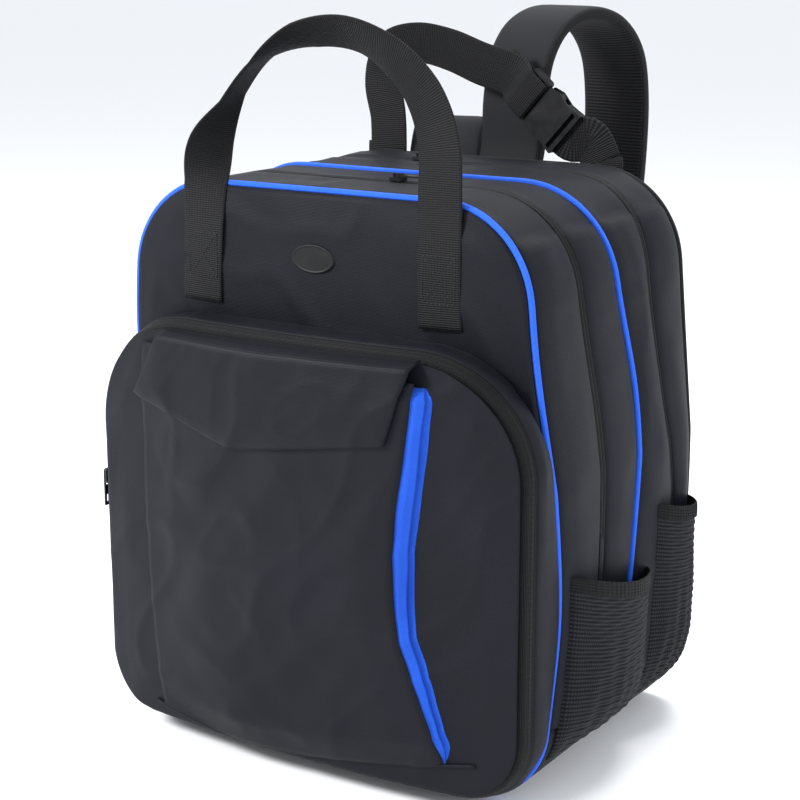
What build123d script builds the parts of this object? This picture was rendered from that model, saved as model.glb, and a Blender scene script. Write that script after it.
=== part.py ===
"""Backpack-style gear bag with two compartments, a front pocket, mesh side pockets and straps.

Millimetres. The origin is the centre of the underside, +Z is up and the front faces -Y.
Fabric is drawn as plain plates and rings of WALL thickness; each sewn piece is its own solid.
"""

import os
from math import atan2, cos, degrees, hypot, radians, sin

from build123d import *

os.makedirs("parts", exist_ok=True)

# Main body
HEIGHT = 470
BASE_HALF = 200
MID_HALF = 201.5
MID_Z = 250
TOP_HALF = 181
BOTTOM_RADIUS = 60
TOP_RADIUS = 81
FRONT_Y = -129
BACK_Y = 129
MAIN_ZIP_Y = -60
DIVIDER_Y = -5.5
REAR_ZIP_Y = 75
WALL = 3
FIT = 0.4
GUSSET_FOOT_Z = 62
MAIN_ZIP_END_Z = 200
LID_Z = 372

# Piping and zips
PIPING_RADIUS = 2.4
PIPING_INSET = 2.4
PANEL_INSET = 5.2
PIPING_GAP = 0.2
ZIP_INSET = 0.5

# Front pocket
POCKET_HALF = 205
POCKET_LOW_Z = 12
POCKET_TOP_Z = 362
POCKET_TOP_RADIUS = 95
POCKET_BOTTOM_RADIUS = 55
POCKET_EDGE_Y = -163
POCKET_CROWN = 20
POCKET_WALL = 2.5
POCKET_RIM = 8
POCKET_MOUTH_Z = 262
POCKET_SLIDER_Z = 214

# Patch pocket and flap on the front pocket
PATCH_LEFT_X = -150
PATCH_RIGHT_X = 98
PATCH_LOW_Z = 24
PATCH_TOP_Z = 342
PATCH_DEPTH = 8.5
PATCH_WALL = 2
FLAP_TOP_Z = 351

# Webbing, handles and buckle
WEBBING = 38
WEBBING_THICK = 2.5
FRONT_HANDLE_Y = -130.4
REAR_HANDLE_Y = 132.2
HANDLE_LEFT_X = -112
HANDLE_RIGHT_X = 109
HANDLE_ROOT_Z = 470
HANDLE_PIVOT_Z = 472.3
REAR_LEG_LOW_Z = 405
BUCKLE_X = 52
BUCKLE_Z = 513
BUCKLE_TILT = 42
BUCKLE_THICK = 10
BUCKLE_WIDTH = 46

# Shoulder straps
STRAP_WIDTH = 66
STRAP_THICK = 12
STRAP_FACE_Y = 149
STRAP_ROOT_X = {"left": -58, "right": 10}
STRAP_LEAN = {"left": -10, "right": 19}
STRAP_TURN = {"left": -10, "right": 10}
STRAP_FOOT_Z = 474
STRAP_ROOT_DEPTH = 22
TAIL_WIDTH = 25
TAIL_THICK = 1.8
TAIL_FOOT = Vector(168, 134, 78)
LOCK_LENGTH = 28
LOCK_WIDTH = 32
LOCK_THICK = 5

# Side pockets: y range, top, bulge
BOTTLE_POCKET = (-116, 18, 166, 30)
ROPE_POCKET = (26, 122, 196, 22)
SIDE_POCKET_LOW_Z = 32
MESH = 2
BAND = 12


def write(builder, name):
    """Label a finished piece and write its STEP file."""
    builder.part.label = name
    export_step(builder.part, f"parts/{name}.step")


def at_y(y):
    """Upright plane at y, with sketch x along +X and sketch y along +Z, facing the front."""
    return Plane.XZ.offset(-y)


def body_outline(inset):
    """Outline of the bag from the front, moved inwards by inset."""
    with BuildSketch() as outline:
        with BuildLine():
            Polyline(
                (-BASE_HALF, 0),
                (BASE_HALF, 0),
                (MID_HALF, MID_Z),
                (TOP_HALF, HEIGHT),
                (-TOP_HALF, HEIGHT),
                (-MID_HALF, MID_Z),
                close=True,
            )
        make_face()
        fillet(outline.vertices().group_by(Axis.Y)[0], BOTTOM_RADIUS)
        fillet(outline.vertices().group_by(Axis.Y)[-1], TOP_RADIUS)
        if inset != 0:
            offset(amount=-inset)
    return outline.sketch


def pocket_outline(inset):
    """Outline of the front pocket from the front, moved inwards by inset."""
    with BuildSketch() as outline:
        with BuildLine():
            Polyline(
                (-POCKET_HALF, POCKET_LOW_Z),
                (POCKET_HALF, POCKET_LOW_Z),
                (POCKET_HALF, POCKET_TOP_Z),
                (-POCKET_HALF, POCKET_TOP_Z),
                close=True,
            )
        make_face()
        fillet(outline.vertices().group_by(Axis.Y)[0], POCKET_BOTTOM_RADIUS)
        fillet(outline.vertices().group_by(Axis.Y)[-1], POCKET_TOP_RADIUS)
        if inset != 0:
            offset(amount=-inset)
    return outline.sketch


def pocket_band(front, back):
    """Plan of a crowned layer of the pocket, between two depths behind its outer face."""
    half = POCKET_HALF + 15
    with BuildSketch() as band:
        with BuildLine():
            ThreePointArc(
                (-half, POCKET_EDGE_Y + front),
                (0, POCKET_EDGE_Y - POCKET_CROWN + front),
                (half, POCKET_EDGE_Y + front),
            )
            if back is None:
                Line((half, POCKET_EDGE_Y + front), (half, FRONT_Y - FIT))
                Line((half, FRONT_Y - FIT), (-half, FRONT_Y - FIT))
                Line((-half, FRONT_Y - FIT), (-half, POCKET_EDGE_Y + front))
            else:
                Line((half, POCKET_EDGE_Y + front), (half, POCKET_EDGE_Y + back))
                ThreePointArc(
                    (half, POCKET_EDGE_Y + back),
                    (0, POCKET_EDGE_Y - POCKET_CROWN + back),
                    (-half, POCKET_EDGE_Y + back),
                )
                Line((-half, POCKET_EDGE_Y + back), (-half, POCKET_EDGE_Y + front))
        make_face()
    return band.sketch


def body_ring(y_front, y_back, outer=0, inner=WALL, low=None, high=None):
    """Ring that follows the bag's outline between two y planes, cut off at low and high."""
    with BuildPart() as ring:
        with BuildSketch(at_y(y_front)):
            add(body_outline(outer))
            add(body_outline(inner), mode=Mode.SUBTRACT)
        extrude(amount=y_front - y_back)
        if low is not None:
            split(bisect_by=Plane.XY.offset(low), keep=Keep.TOP)
        if high is not None:
            split(bisect_by=Plane.XY.offset(high), keep=Keep.BOTTOM)
    return ring


def piping_ring(y, low=None, high=None):
    """Round piping cord that follows the bag's outline at y, cut off at low and high."""
    with BuildPart() as cord:
        with BuildLine() as path:
            add(at_y(y) * body_outline(PIPING_INSET).faces()[0].outer_wire())
        with BuildSketch(Plane(origin=path.wire() @ 0, z_dir=path.wire() % 0)):
            Circle(PIPING_RADIUS)
        sweep(path=path.wire(), transition=Transition.ROUND)
        if low is not None:
            split(bisect_by=Plane.XY.offset(low), keep=Keep.TOP)
        if high is not None:
            split(bisect_by=Plane.XY.offset(high), keep=Keep.BOTTOM)
    return cord


def body_plate(y_front, thick, inset=PANEL_INSET, low=None, high=None):
    """Flat panel with the bag's outline, cut off at low and high."""
    with BuildPart() as plate:
        with BuildSketch(at_y(y_front)):
            add(body_outline(inset))
        extrude(amount=-thick)
        if low is not None:
            split(bisect_by=Plane.XY.offset(low), keep=Keep.TOP)
        if high is not None:
            split(bisect_by=Plane.XY.offset(high), keep=Keep.BOTTOM)
    return plate


def pocket_layer(sketch, front, back, low=None, high=None):
    """Crowned layer of the front pocket with the given front view."""
    with BuildPart() as layer:
        with BuildSketch(at_y(POCKET_EDGE_Y - 2 * POCKET_CROWN - 10)):
            add(sketch)
        extrude(amount=-100)
        with BuildSketch():
            add(pocket_band(front, back))
        extrude(amount=HEIGHT, mode=Mode.INTERSECT)
        if low is not None:
            split(bisect_by=Plane.XY.offset(low), keep=Keep.TOP)
        if high is not None:
            split(bisect_by=Plane.XY.offset(high), keep=Keep.BOTTOM)
    return layer


def pocket_ring():
    """Front view of the pocket's side wall."""
    with BuildSketch() as ring:
        add(pocket_outline(0))
        add(pocket_outline(POCKET_WALL), mode=Mode.SUBTRACT)
    return ring.sketch


def plain_face(*points):
    """Front view with straight edges through the points."""
    with BuildSketch() as face:
        with BuildLine():
            Polyline(*points, close=True)
        make_face()
    return face.sketch


# --- Main body -------------------------------------------------------------------------------

GUSSET_FRONT_Y = FRONT_Y + 2 * PIPING_RADIUS + PIPING_GAP
GUSSET_BACK_Y = BACK_Y - 2 * PIPING_RADIUS - PIPING_GAP
DIVIDER_HALF_GAP = PIPING_RADIUS + PIPING_GAP
zip_front = MAIN_ZIP_Y - 2
zip_back = MAIN_ZIP_Y + 2

with BuildPart() as bottom_panel:
    with BuildSketch(at_y(GUSSET_FRONT_Y)):
        add(body_outline(0))
        add(body_outline(WALL), mode=Mode.SUBTRACT)
    extrude(amount=GUSSET_FRONT_Y - GUSSET_BACK_Y)
    split(bisect_by=Plane.XY.offset(GUSSET_FOOT_Z - FIT), keep=Keep.BOTTOM)
write(bottom_panel, "bottom_panel")

with BuildPart() as base_boards:
    for y_low, y_high in ((FRONT_Y + 8, DIVIDER_Y - 5), (DIVIDER_Y + 5, BACK_Y - 8)):
        with BuildSketch(Plane.XY.offset(WALL + FIT)):
            with Locations((0, (y_low + y_high) / 2)):
                RectangleRounded(270, y_high - y_low, 12)
        extrude(amount=2.5)
write(base_boards, "base_boards")

write(body_plate(FRONT_Y, WALL, high=LID_Z - FIT), "front_panel_lower")
write(body_plate(FRONT_Y, WALL, low=LID_Z + FIT), "front_panel_upper")
write(piping_ring(FRONT_Y + PIPING_RADIUS, high=LID_Z - FIT), "front_piping_lower")
write(piping_ring(FRONT_Y + PIPING_RADIUS, low=LID_Z + FIT), "front_piping_upper")

write(
    body_ring(GUSSET_FRONT_Y, zip_front, low=GUSSET_FOOT_Z, high=LID_Z - FIT),
    "front_gusset_sides",
)
write(body_ring(GUSSET_FRONT_Y, zip_front, low=LID_Z + FIT), "front_gusset_top")
write(
    body_ring(zip_front + 0.1, MAIN_ZIP_Y - FIT, ZIP_INSET, 2.5, MAIN_ZIP_END_Z + FIT, LID_Z - FIT),
    "main_zip_tape_sides",
)
write(
    body_ring(zip_front + 0.1, MAIN_ZIP_Y - FIT, ZIP_INSET, 2.5, LID_Z + FIT),
    "main_zip_tape_top",
)
write(
    body_ring(MAIN_ZIP_Y + FIT, zip_back - 0.1, ZIP_INSET, 2.5, MAIN_ZIP_END_Z + FIT),
    "main_zip_tape_rear",
)

with BuildPart() as middle_gusset:
    with BuildSketch(at_y(zip_back)):
        add(body_outline(0))
        add(body_outline(WALL), mode=Mode.SUBTRACT)
    extrude(amount=zip_back - (DIVIDER_Y - DIVIDER_HALF_GAP))
    with BuildSketch(at_y(zip_front + 0.1)):
        add(body_outline(0))
        add(body_outline(WALL), mode=Mode.SUBTRACT)
        with BuildLine():
            Polyline(
                (-HEIGHT, MAIN_ZIP_END_Z),
                (HEIGHT, MAIN_ZIP_END_Z),
                (HEIGHT, 2 * HEIGHT),
                (-HEIGHT, 2 * HEIGHT),
                close=True,
            )
        make_face(mode=Mode.SUBTRACT)
    extrude(amount=zip_front + 0.1 - zip_back)
    split(bisect_by=Plane.XY.offset(GUSSET_FOOT_Z), keep=Keep.TOP)
write(middle_gusset, "middle_gusset")

write(body_plate(DIVIDER_Y - WALL / 2, WALL), "divider_panel")
write(piping_ring(DIVIDER_Y, low=GUSSET_FOOT_Z), "middle_piping")
write(
    body_ring(DIVIDER_Y + DIVIDER_HALF_GAP, REAR_ZIP_Y - 2, low=GUSSET_FOOT_Z),
    "rear_gusset_front",
)
write(body_ring(REAR_ZIP_Y - 1.9, REAR_ZIP_Y + 1.9, ZIP_INSET, 2.5, GUSSET_FOOT_Z), "rear_zip_chain")
write(body_ring(REAR_ZIP_Y + 2, GUSSET_BACK_Y, low=GUSSET_FOOT_Z), "rear_gusset_back")
write(body_plate(BACK_Y - WALL, WALL), "back_panel")
write(piping_ring(BACK_Y - PIPING_RADIUS), "back_binding")

with BuildPart() as back_pad:
    with BuildSketch(at_y(BACK_Y + FIT)):
        with Locations((0, 235)):
            RectangleRounded(250, 320, 35)
    extrude(amount=-8)
    fillet(back_pad.faces().sort_by(Axis.Y)[-1].edges(), 5)
write(back_pad, "back_pad")

# --- Front pocket ----------------------------------------------------------------------------

with BuildPart() as pocket_gusset:
    with BuildSketch(at_y(POCKET_EDGE_Y - 2 * POCKET_CROWN)):
        add(pocket_outline(0))
        add(pocket_outline(POCKET_WALL), mode=Mode.SUBTRACT)
    extrude(amount=-100)
    with BuildSketch():
        add(pocket_band(POCKET_RIM + 1, None))
    extrude(amount=HEIGHT, mode=Mode.INTERSECT)
write(pocket_gusset, "pocket_gusset")

for name, low, high in (
    ("lower", None, POCKET_MOUTH_Z - FIT),
    ("upper", POCKET_MOUTH_Z + FIT, None),
):
    write(pocket_layer(pocket_outline(0), 0, POCKET_WALL, low, high), f"pocket_face_{name}")
    write(
        pocket_layer(pocket_ring(), POCKET_WALL + 0.1, POCKET_RIM, low, high),
        f"pocket_zip_rim_{name}",
    )

patch = plain_face(
    (PATCH_LEFT_X, PATCH_LOW_Z),
    (PATCH_RIGHT_X, PATCH_LOW_Z),
    (PATCH_RIGHT_X, PATCH_TOP_Z),
    (PATCH_LEFT_X, PATCH_TOP_Z),
)
patch_left_wall = plain_face(
    (PATCH_LEFT_X, PATCH_LOW_Z),
    (PATCH_LEFT_X + PATCH_WALL, PATCH_LOW_Z),
    (PATCH_LEFT_X + PATCH_WALL, PATCH_TOP_Z),
    (PATCH_LEFT_X, PATCH_TOP_Z),
)
patch_floor = plain_face(
    (PATCH_LEFT_X, PATCH_LOW_Z),
    (PATCH_RIGHT_X, PATCH_LOW_Z),
    (PATCH_RIGHT_X, PATCH_LOW_Z + PATCH_WALL),
    (PATCH_LEFT_X, PATCH_LOW_Z + PATCH_WALL),
)
patch_bellows = plain_face(
    (PATCH_RIGHT_X - PATCH_WALL, PATCH_LOW_Z + PATCH_WALL + FIT),
    (PATCH_RIGHT_X, PATCH_LOW_Z + PATCH_WALL + FIT),
    (PATCH_RIGHT_X, PATCH_TOP_Z),
    (PATCH_RIGHT_X - PATCH_WALL, PATCH_TOP_Z),
)

with BuildPart() as patch_panel_lower:
    add(pocket_layer(patch, -PATCH_DEPTH - PATCH_WALL, -PATCH_DEPTH).part)
    add(pocket_layer(patch_left_wall, -PATCH_DEPTH, -FIT).part)
    add(pocket_layer(patch_floor, -PATCH_DEPTH, -FIT).part)
    split(bisect_by=Plane.XY.offset(POCKET_MOUTH_Z - FIT), keep=Keep.BOTTOM)
write(patch_panel_lower, "patch_panel_lower")

with BuildPart() as patch_panel_upper:
    add(pocket_layer(patch, -PATCH_DEPTH - PATCH_WALL, -PATCH_DEPTH).part)
    add(pocket_layer(patch_left_wall, -PATCH_DEPTH, -FIT).part)
    split(bisect_by=Plane.XY.offset(POCKET_MOUTH_Z + FIT), keep=Keep.TOP)
write(patch_panel_upper, "patch_panel_upper")

for name, low, high in (
    ("lower", None, POCKET_MOUTH_Z - FIT),
    ("upper", POCKET_MOUTH_Z + FIT, None),
):
    write(
        pocket_layer(patch_bellows, -PATCH_DEPTH + 0.2, -FIT, low, high),
        f"patch_bellows_{name}",
    )

patch_flap_shape = plain_face(
    (-132, FLAP_TOP_Z),
    (112, FLAP_TOP_Z),
    (93, 288),
    (-50, 269),
    (-153, 300),
)
flap_inner = -PATCH_DEPTH - PATCH_WALL - 0.6
write(pocket_layer(patch_flap_shape, flap_inner - PATCH_WALL, flap_inner), "patch_flap")

# --- Mesh side pockets -----------------------------------------------------------------------


def side_arc(side, y_low, y_high, bulge, low, high, floor):
    """Bowed wall of a side pocket between two heights, with a floor where floor is true."""
    x_foot = side * (MID_HALF + FIT)
    x_out = side * (MID_HALF + FIT + bulge)
    y_mid = (y_low + y_high) / 2
    with BuildPart() as wall:
        with BuildSketch(Plane.XY.offset(low)):
            with BuildLine():
                ThreePointArc((x_foot, y_low), (x_out, y_mid), (x_foot, y_high))
                Line((x_foot, y_high), (x_foot, y_low))
            make_face()
            if not floor:
                with BuildLine():
                    ThreePointArc(
                        (x_foot, y_low + 3 * MESH),
                        (x_out - side * MESH, y_mid),
                        (x_foot, y_high - 3 * MESH),
                    )
                    Line((x_foot, y_high - 3 * MESH), (x_foot, y_low + 3 * MESH))
                make_face(mode=Mode.SUBTRACT)
        extrude(amount=high - low)
    return wall


for side, side_name in ((-1, "left"), (1, "right")):
    for pocket, pocket_name in ((BOTTLE_POCKET, "bottle"), (ROPE_POCKET, "rope")):
        y_low, y_high, top_z, bulge = pocket
        with BuildPart() as mesh_pocket:
            add(side_arc(side, y_low, y_high, bulge, SIDE_POCKET_LOW_Z, top_z - BAND, False).part)
            floor_z = SIDE_POCKET_LOW_Z + MESH
            add(side_arc(side, y_low, y_high, bulge, SIDE_POCKET_LOW_Z, floor_z, True).part)
        write(mesh_pocket, f"{side_name}_{pocket_name}_pocket")

with BuildPart() as pocket_elastics:
    for side in (-1, 1):
        for y_low, y_high, top_z, bulge in (BOTTLE_POCKET, ROPE_POCKET):
            add(side_arc(side, y_low, y_high, bulge, top_z - BAND + 0.1, top_z, False).part)
write(pocket_elastics, "pocket_elastics")

# --- Handles ---------------------------------------------------------------------------------


def webbing_legs(y_front, low, high):
    """Flat ends of a handle's webbing, sewn to a panel."""
    middle_z = (low + high) / 2
    with BuildPart() as legs:
        with BuildSketch(at_y(y_front)):
            with Locations((HANDLE_LEFT_X, middle_z), (HANDLE_RIGHT_X, middle_z)):
                Rectangle(WEBBING, high - low)
        extrude(amount=-WEBBING_THICK)
    return legs


def webbing_run(points, bend, y_front):
    """Flat webbing that follows the points in an upright plane."""
    with BuildPart() as run:
        with BuildSketch(at_y(y_front)):
            with BuildLine() as centre:
                FilletPolyline(*points, radius=bend)
            trace(centre.line, line_width=WEBBING)
        extrude(amount=-WEBBING_THICK)
    return run


front_y = FRONT_HANDLE_Y - WEBBING_THICK
write(webbing_legs(front_y, LID_Z + 3, HANDLE_ROOT_Z), "front_handle_legs")
LOOP_FOOT_Z = HANDLE_PIVOT_Z + 2.7
write(
    webbing_run(
        (
            (HANDLE_LEFT_X, LOOP_FOOT_Z),
            (HANDLE_LEFT_X, 488),
            (-72, 548),
            (-18, 581),
            (60, 583),
            (104, 548),
            (HANDLE_RIGHT_X, LOOP_FOOT_Z),
        ),
        (20, 60, 70, 70, 55),
        front_y,
    ),
    "front_handle",
)

rear_y = REAR_HANDLE_Y - WEBBING_THICK
write(webbing_legs(rear_y, REAR_LEG_LOW_Z, HANDLE_ROOT_Z), "rear_handle_legs")

along = Vector(cos(radians(BUCKLE_TILT)), 0, -sin(radians(BUCKLE_TILT)))
buckle_centre = Vector(BUCKLE_X, REAR_HANDLE_Y - WEBBING_THICK / 2, BUCKLE_Z)
plug_end = buckle_centre - along * 33.5
write(
    webbing_run(
        (
            (HANDLE_LEFT_X, LOOP_FOOT_Z),
            (HANDLE_LEFT_X, 562),
            (-30, 573),
            (plug_end.X, plug_end.Z),
        ),
        26,
        rear_y,
    ),
    "rear_handle_webbing_left",
)

half_web = WEBBING / 2
across_buckle = Vector(sin(radians(BUCKLE_TILT)), 0, cos(radians(BUCKLE_TILT)))
socket_top = buckle_centre + along * 31 + across_buckle * half_web
socket_low = buckle_centre + along * 31 - across_buckle * half_web
with BuildPart() as rear_handle_webbing_right:
    with BuildSketch(at_y(rear_y)):
        with BuildLine():
            Polyline(
                (socket_top.X, socket_top.Z),
                (HANDLE_RIGHT_X + half_web, LOOP_FOOT_Z),
                (HANDLE_RIGHT_X - half_web, LOOP_FOOT_Z),
                (socket_low.X, socket_low.Z),
                close=True,
            )
        make_face()
    extrude(amount=-WEBBING_THICK)
write(rear_handle_webbing_right, "rear_handle_webbing_right")

# --- Side-release buckle, drawn along its own u axis from plug to socket ---------------------

buckle_front = Plane(
    origin=buckle_centre - Vector(0, BUCKLE_THICK / 2, 0),
    x_dir=along,
    z_dir=(0, -1, 0),
)
buckle_mid = Plane(origin=buckle_centre, x_dir=along, z_dir=(0, -1, 0))
CHANNEL = 6.4
PRONG_THICK = 5

with BuildPart() as buckle_socket:
    with BuildSketch(buckle_front):
        with BuildLine():
            Polyline((-8, 20), (2, 23), (15, 20.5), (30, 22.5))
            Line((30, 22.5), (30, -22.5))
            Polyline((30, -22.5), (15, -20.5), (2, -23), (-8, -20))
            Line((-8, -20), (-8, 20))
        make_face()
    extrude(amount=-BUCKLE_THICK)
    fillet(buckle_socket.edges().filter_by(Axis.Y), 1.5)
    with BuildSketch(buckle_mid.offset(-CHANNEL / 2)):
        with Locations((2, 0)):
            Rectangle(24, BUCKLE_WIDTH + 8)
    extrude(amount=CHANNEL, mode=Mode.SUBTRACT)
    with BuildSketch(buckle_front):
        with Locations((24, 0)):
            Rectangle(4, WEBBING + 0.4)
    extrude(amount=-BUCKLE_THICK, mode=Mode.SUBTRACT)
write(buckle_socket, "buckle_socket")

with BuildPart() as buckle_plug:
    with BuildSketch(buckle_mid.offset(-BUCKLE_THICK / 2 + 1)):
        with Locations((-20, 0)):
            RectangleRounded(21, BUCKLE_WIDTH - 2, 2.5)
        with Locations((-25, 0), (-17, 0)):
            Rectangle(4, WEBBING + 0.4, mode=Mode.SUBTRACT)
    extrude(amount=BUCKLE_THICK - 2)
    with BuildSketch(buckle_mid.offset(-PRONG_THICK / 2)):
        with Locations((0.5, 0)):
            Rectangle(21, 6)
    extrude(amount=PRONG_THICK)
write(buckle_plug, "buckle_plug")

for sign, prong_name in ((1, "upper"), (-1, "lower")):
    with BuildPart() as prong:
        with BuildSketch(buckle_mid.offset(-PRONG_THICK / 2)):
            with BuildLine():
                Polyline(
                    (-9.1, sign * 15.5),
                    (-9.1, sign * 18.5),
                    (1, sign * 19),
                    (3, sign * 23),
                    (8, sign * 21),
                    (12, sign * 13),
                    (5, sign * 15),
                    close=True,
                )
            make_face()
        extrude(amount=PRONG_THICK)
    write(prong, f"buckle_prong_{prong_name}")

# --- Shoulder straps -------------------------------------------------------------------------

with BuildPart() as strap_yoke:
    with BuildSketch(at_y(BACK_Y + FIT)):
        with Locations((-9, 447)):
            Rectangle(164, 44)
    extrude(amount=-2)
    for root_x in STRAP_ROOT_X.values():
        with BuildSketch(at_y(BACK_Y + FIT + 2)):
            with Locations((root_x, 449)):
                Rectangle(STRAP_WIDTH, 38)
        extrude(amount=-STRAP_ROOT_DEPTH)
write(strap_yoke, "strap_yoke")

STRAP_ROUTES = {
    "right": ((0, STRAP_FOOT_Z), (0, 596), (129, 596), (129, 420), (103, 362)),
    "left": ((0, STRAP_FOOT_Z), (4, 500), (52, 492), (78, 330), (44, 150)),
}
STRAP_BENDS = {"right": (55, 55, 40), "left": (12, 30, 90)}


def strap_plane(side_name):
    """Upright plane through a strap's centreline, with sketch x running back from the bag."""
    lean = radians(STRAP_LEAN[side_name])
    run = Vector(sin(lean), cos(lean), 0)
    return Plane(
        origin=(STRAP_ROOT_X[side_name], STRAP_FACE_Y, 0),
        x_dir=run,
        z_dir=run.cross(Vector(0, 0, 1)),
    )


def strap_edge(side_name, width):
    """The strap's upright plane, moved to the edge of a piece of this width."""
    frame = strap_plane(side_name)
    return Plane(
        origin=frame.origin - strap_across(side_name) * (width / 2),
        x_dir=frame.x_dir,
        z_dir=frame.z_dir,
    )


def strap_across(side_name):
    """Level direction across the width of a strap."""
    turn = radians(STRAP_TURN[side_name])
    return Vector(cos(turn), -sin(turn), 0)


for side, side_name in ((-1, "left"), (1, "right")):
    route = STRAP_ROUTES[side_name]
    frame = strap_plane(side_name)
    wide = strap_across(side_name)
    with BuildPart() as strap_pad:
        with BuildSketch(strap_edge(side_name, STRAP_WIDTH)):
            with BuildLine() as centre:
                FilletPolyline(*route, radius=STRAP_BENDS[side_name])
            trace(centre.line, line_width=STRAP_THICK)
        extrude(amount=STRAP_WIDTH, dir=wide)
    write(strap_pad, f"{side_name}_strap_pad")

    run_s = route[-1][0] - route[-2][0]
    run_z = route[-1][1] - route[-2][1]
    run_length = hypot(run_s, run_z)
    step = Vector(run_s / run_length, run_z / run_length)
    lock_centre = Vector(*route[-1]) + step * (LOCK_LENGTH / 2 + FIT)
    with BuildPart() as ladder_lock:
        with BuildSketch(strap_edge(side_name, LOCK_WIDTH)):
            with Locations((lock_centre.X, lock_centre.Y)):
                Rectangle(LOCK_LENGTH, LOCK_THICK, rotation=degrees(atan2(run_z, run_s)))
        extrude(amount=LOCK_WIDTH, dir=wide)
        with BuildSketch(strap_edge(side_name, TAIL_WIDTH + 1.2)):
            for reach in (-7, 3):
                slot = lock_centre + step * reach
                with Locations((slot.X, slot.Y)):
                    Rectangle(5, LOCK_THICK + 4, rotation=degrees(atan2(run_z, run_s)))
        extrude(amount=TAIL_WIDTH + 1.2, dir=wide, mode=Mode.SUBTRACT)
    write(ladder_lock, f"{side_name}_ladder_lock")

    lock_end = Vector(*route[-1]) + step * (LOCK_LENGTH + 34)
    head = frame.from_local_coords(Vector(lock_end.X, lock_end.Y, 0))
    foot = Vector(side * TAIL_FOOT.X, TAIL_FOOT.Y, TAIL_FOOT.Z)
    rise = head - foot
    across = Vector(0, 1, 0).cross(rise).normalized()
    with BuildPart() as strap_tail:
        with BuildSketch(Plane(origin=foot, x_dir=across, z_dir=rise)):
            Rectangle(TAIL_WIDTH, TAIL_THICK)
        extrude(amount=rise.length)
    write(strap_tail, f"{side_name}_strap_tail")

with BuildPart() as strap_anchors:
    with BuildSketch(at_y(BACK_Y + FIT)):
        for side in (-1, 1):
            with BuildLine():
                Polyline(
                    (side * 150, 74),
                    (side * 186, 74),
                    (side * 192, 45),
                    (side * 175, 36),
                    close=True,
                )
            make_face()
    extrude(amount=-WALL)
write(strap_anchors, "strap_anchors")

# --- Badge -----------------------------------------------------------------------------------

with BuildPart() as badge:
    with BuildSketch(at_y(FRONT_Y - 0.1)):
        with Locations((-7, 415)):
            Ellipse(21.5, 12)
    extrude(amount=2.2)
write(badge, "badge")

# --- Zip sliders and pull tabs ---------------------------------------------------------------


def zip_slider(plane, name):
    """Slider that straddles a zip: a block and the bridge that holds the pull's pin."""
    with BuildPart() as slider:
        with BuildSketch(plane.offset(FIT)):
            RectangleRounded(13, 10, 2.5)
        extrude(amount=3)
        with BuildSketch(plane.offset(FIT + 3)):
            Rectangle(8.2, 3)
        extrude(amount=3)
        with BuildSketch(plane.offset(FIT + 3)):
            Rectangle(5.8, 3)
        extrude(amount=2.1, mode=Mode.SUBTRACT)
    write(slider, f"{name}_slider")
    with BuildPart() as pull:
        with BuildSketch(plane.offset(FIT + 3.35)):
            with Locations((13, 0)):
                RectangleRounded(27.4, 6.6, 0.6)
            with Locations((4, 0)):
                Rectangle(9.4, 3.8, mode=Mode.SUBTRACT)
            with Locations((20.5, 0)):
                SlotOverall(7, 2.6, mode=Mode.SUBTRACT)
        extrude(amount=1.4)
        with BuildSketch(plane.offset(FIT + 3.35)):
            Rectangle(1.4, 6.6)
        extrude(amount=1.4)
    write(pull, f"{name}_pull")


top = Vector(0, 0, 1)
zip_slider(Plane(origin=(24, MAIN_ZIP_Y, HEIGHT), x_dir=(1, 0, 0), z_dir=top), "main_zip")
zip_slider(Plane(origin=(-40, REAR_ZIP_Y, HEIGHT), x_dir=(1, 0, 0), z_dir=top), "rear_zip")
side_crown = POCKET_CROWN * (1 - (POCKET_HALF / (POCKET_HALF + 15)) ** 2)
pocket_side_y = POCKET_EDGE_Y - side_crown + POCKET_RIM + 0.5
zip_slider(
    Plane(
        origin=(-POCKET_HALF, pocket_side_y, POCKET_SLIDER_Z),
        x_dir=(0, 0, -1),
        z_dir=(-1, 0, 0),
    ),
    "pocket_zip",
)
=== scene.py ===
"""Looks of the gear bag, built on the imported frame. Metres, +Z up, the front faces -Y."""

import bisect
from math import atan2, cos, hypot, pi, radians, sin, sqrt

import bpy
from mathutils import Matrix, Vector, noise


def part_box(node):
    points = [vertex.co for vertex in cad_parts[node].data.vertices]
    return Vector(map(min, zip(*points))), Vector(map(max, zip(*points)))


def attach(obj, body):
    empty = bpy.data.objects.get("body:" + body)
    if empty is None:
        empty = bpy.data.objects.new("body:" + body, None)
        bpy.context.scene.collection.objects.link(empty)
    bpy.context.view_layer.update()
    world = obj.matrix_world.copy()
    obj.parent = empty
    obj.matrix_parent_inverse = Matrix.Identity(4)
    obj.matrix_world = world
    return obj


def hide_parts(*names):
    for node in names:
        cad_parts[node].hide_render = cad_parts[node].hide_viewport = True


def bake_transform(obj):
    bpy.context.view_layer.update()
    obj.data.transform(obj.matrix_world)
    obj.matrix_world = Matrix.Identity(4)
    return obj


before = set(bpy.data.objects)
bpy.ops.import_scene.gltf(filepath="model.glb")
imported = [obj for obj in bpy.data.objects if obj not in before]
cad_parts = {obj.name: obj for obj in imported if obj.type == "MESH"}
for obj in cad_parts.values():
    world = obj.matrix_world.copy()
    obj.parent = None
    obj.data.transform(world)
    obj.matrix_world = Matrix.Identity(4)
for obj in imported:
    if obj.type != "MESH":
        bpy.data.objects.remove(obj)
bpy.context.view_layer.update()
MM = 0.001


# --- Sizes, most of them read from the frame ---


def centre(node_name):
    """Middle of a node's box."""
    low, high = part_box(node_name)
    return [(a + b) / 2 for a, b in zip(low, high)]


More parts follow.
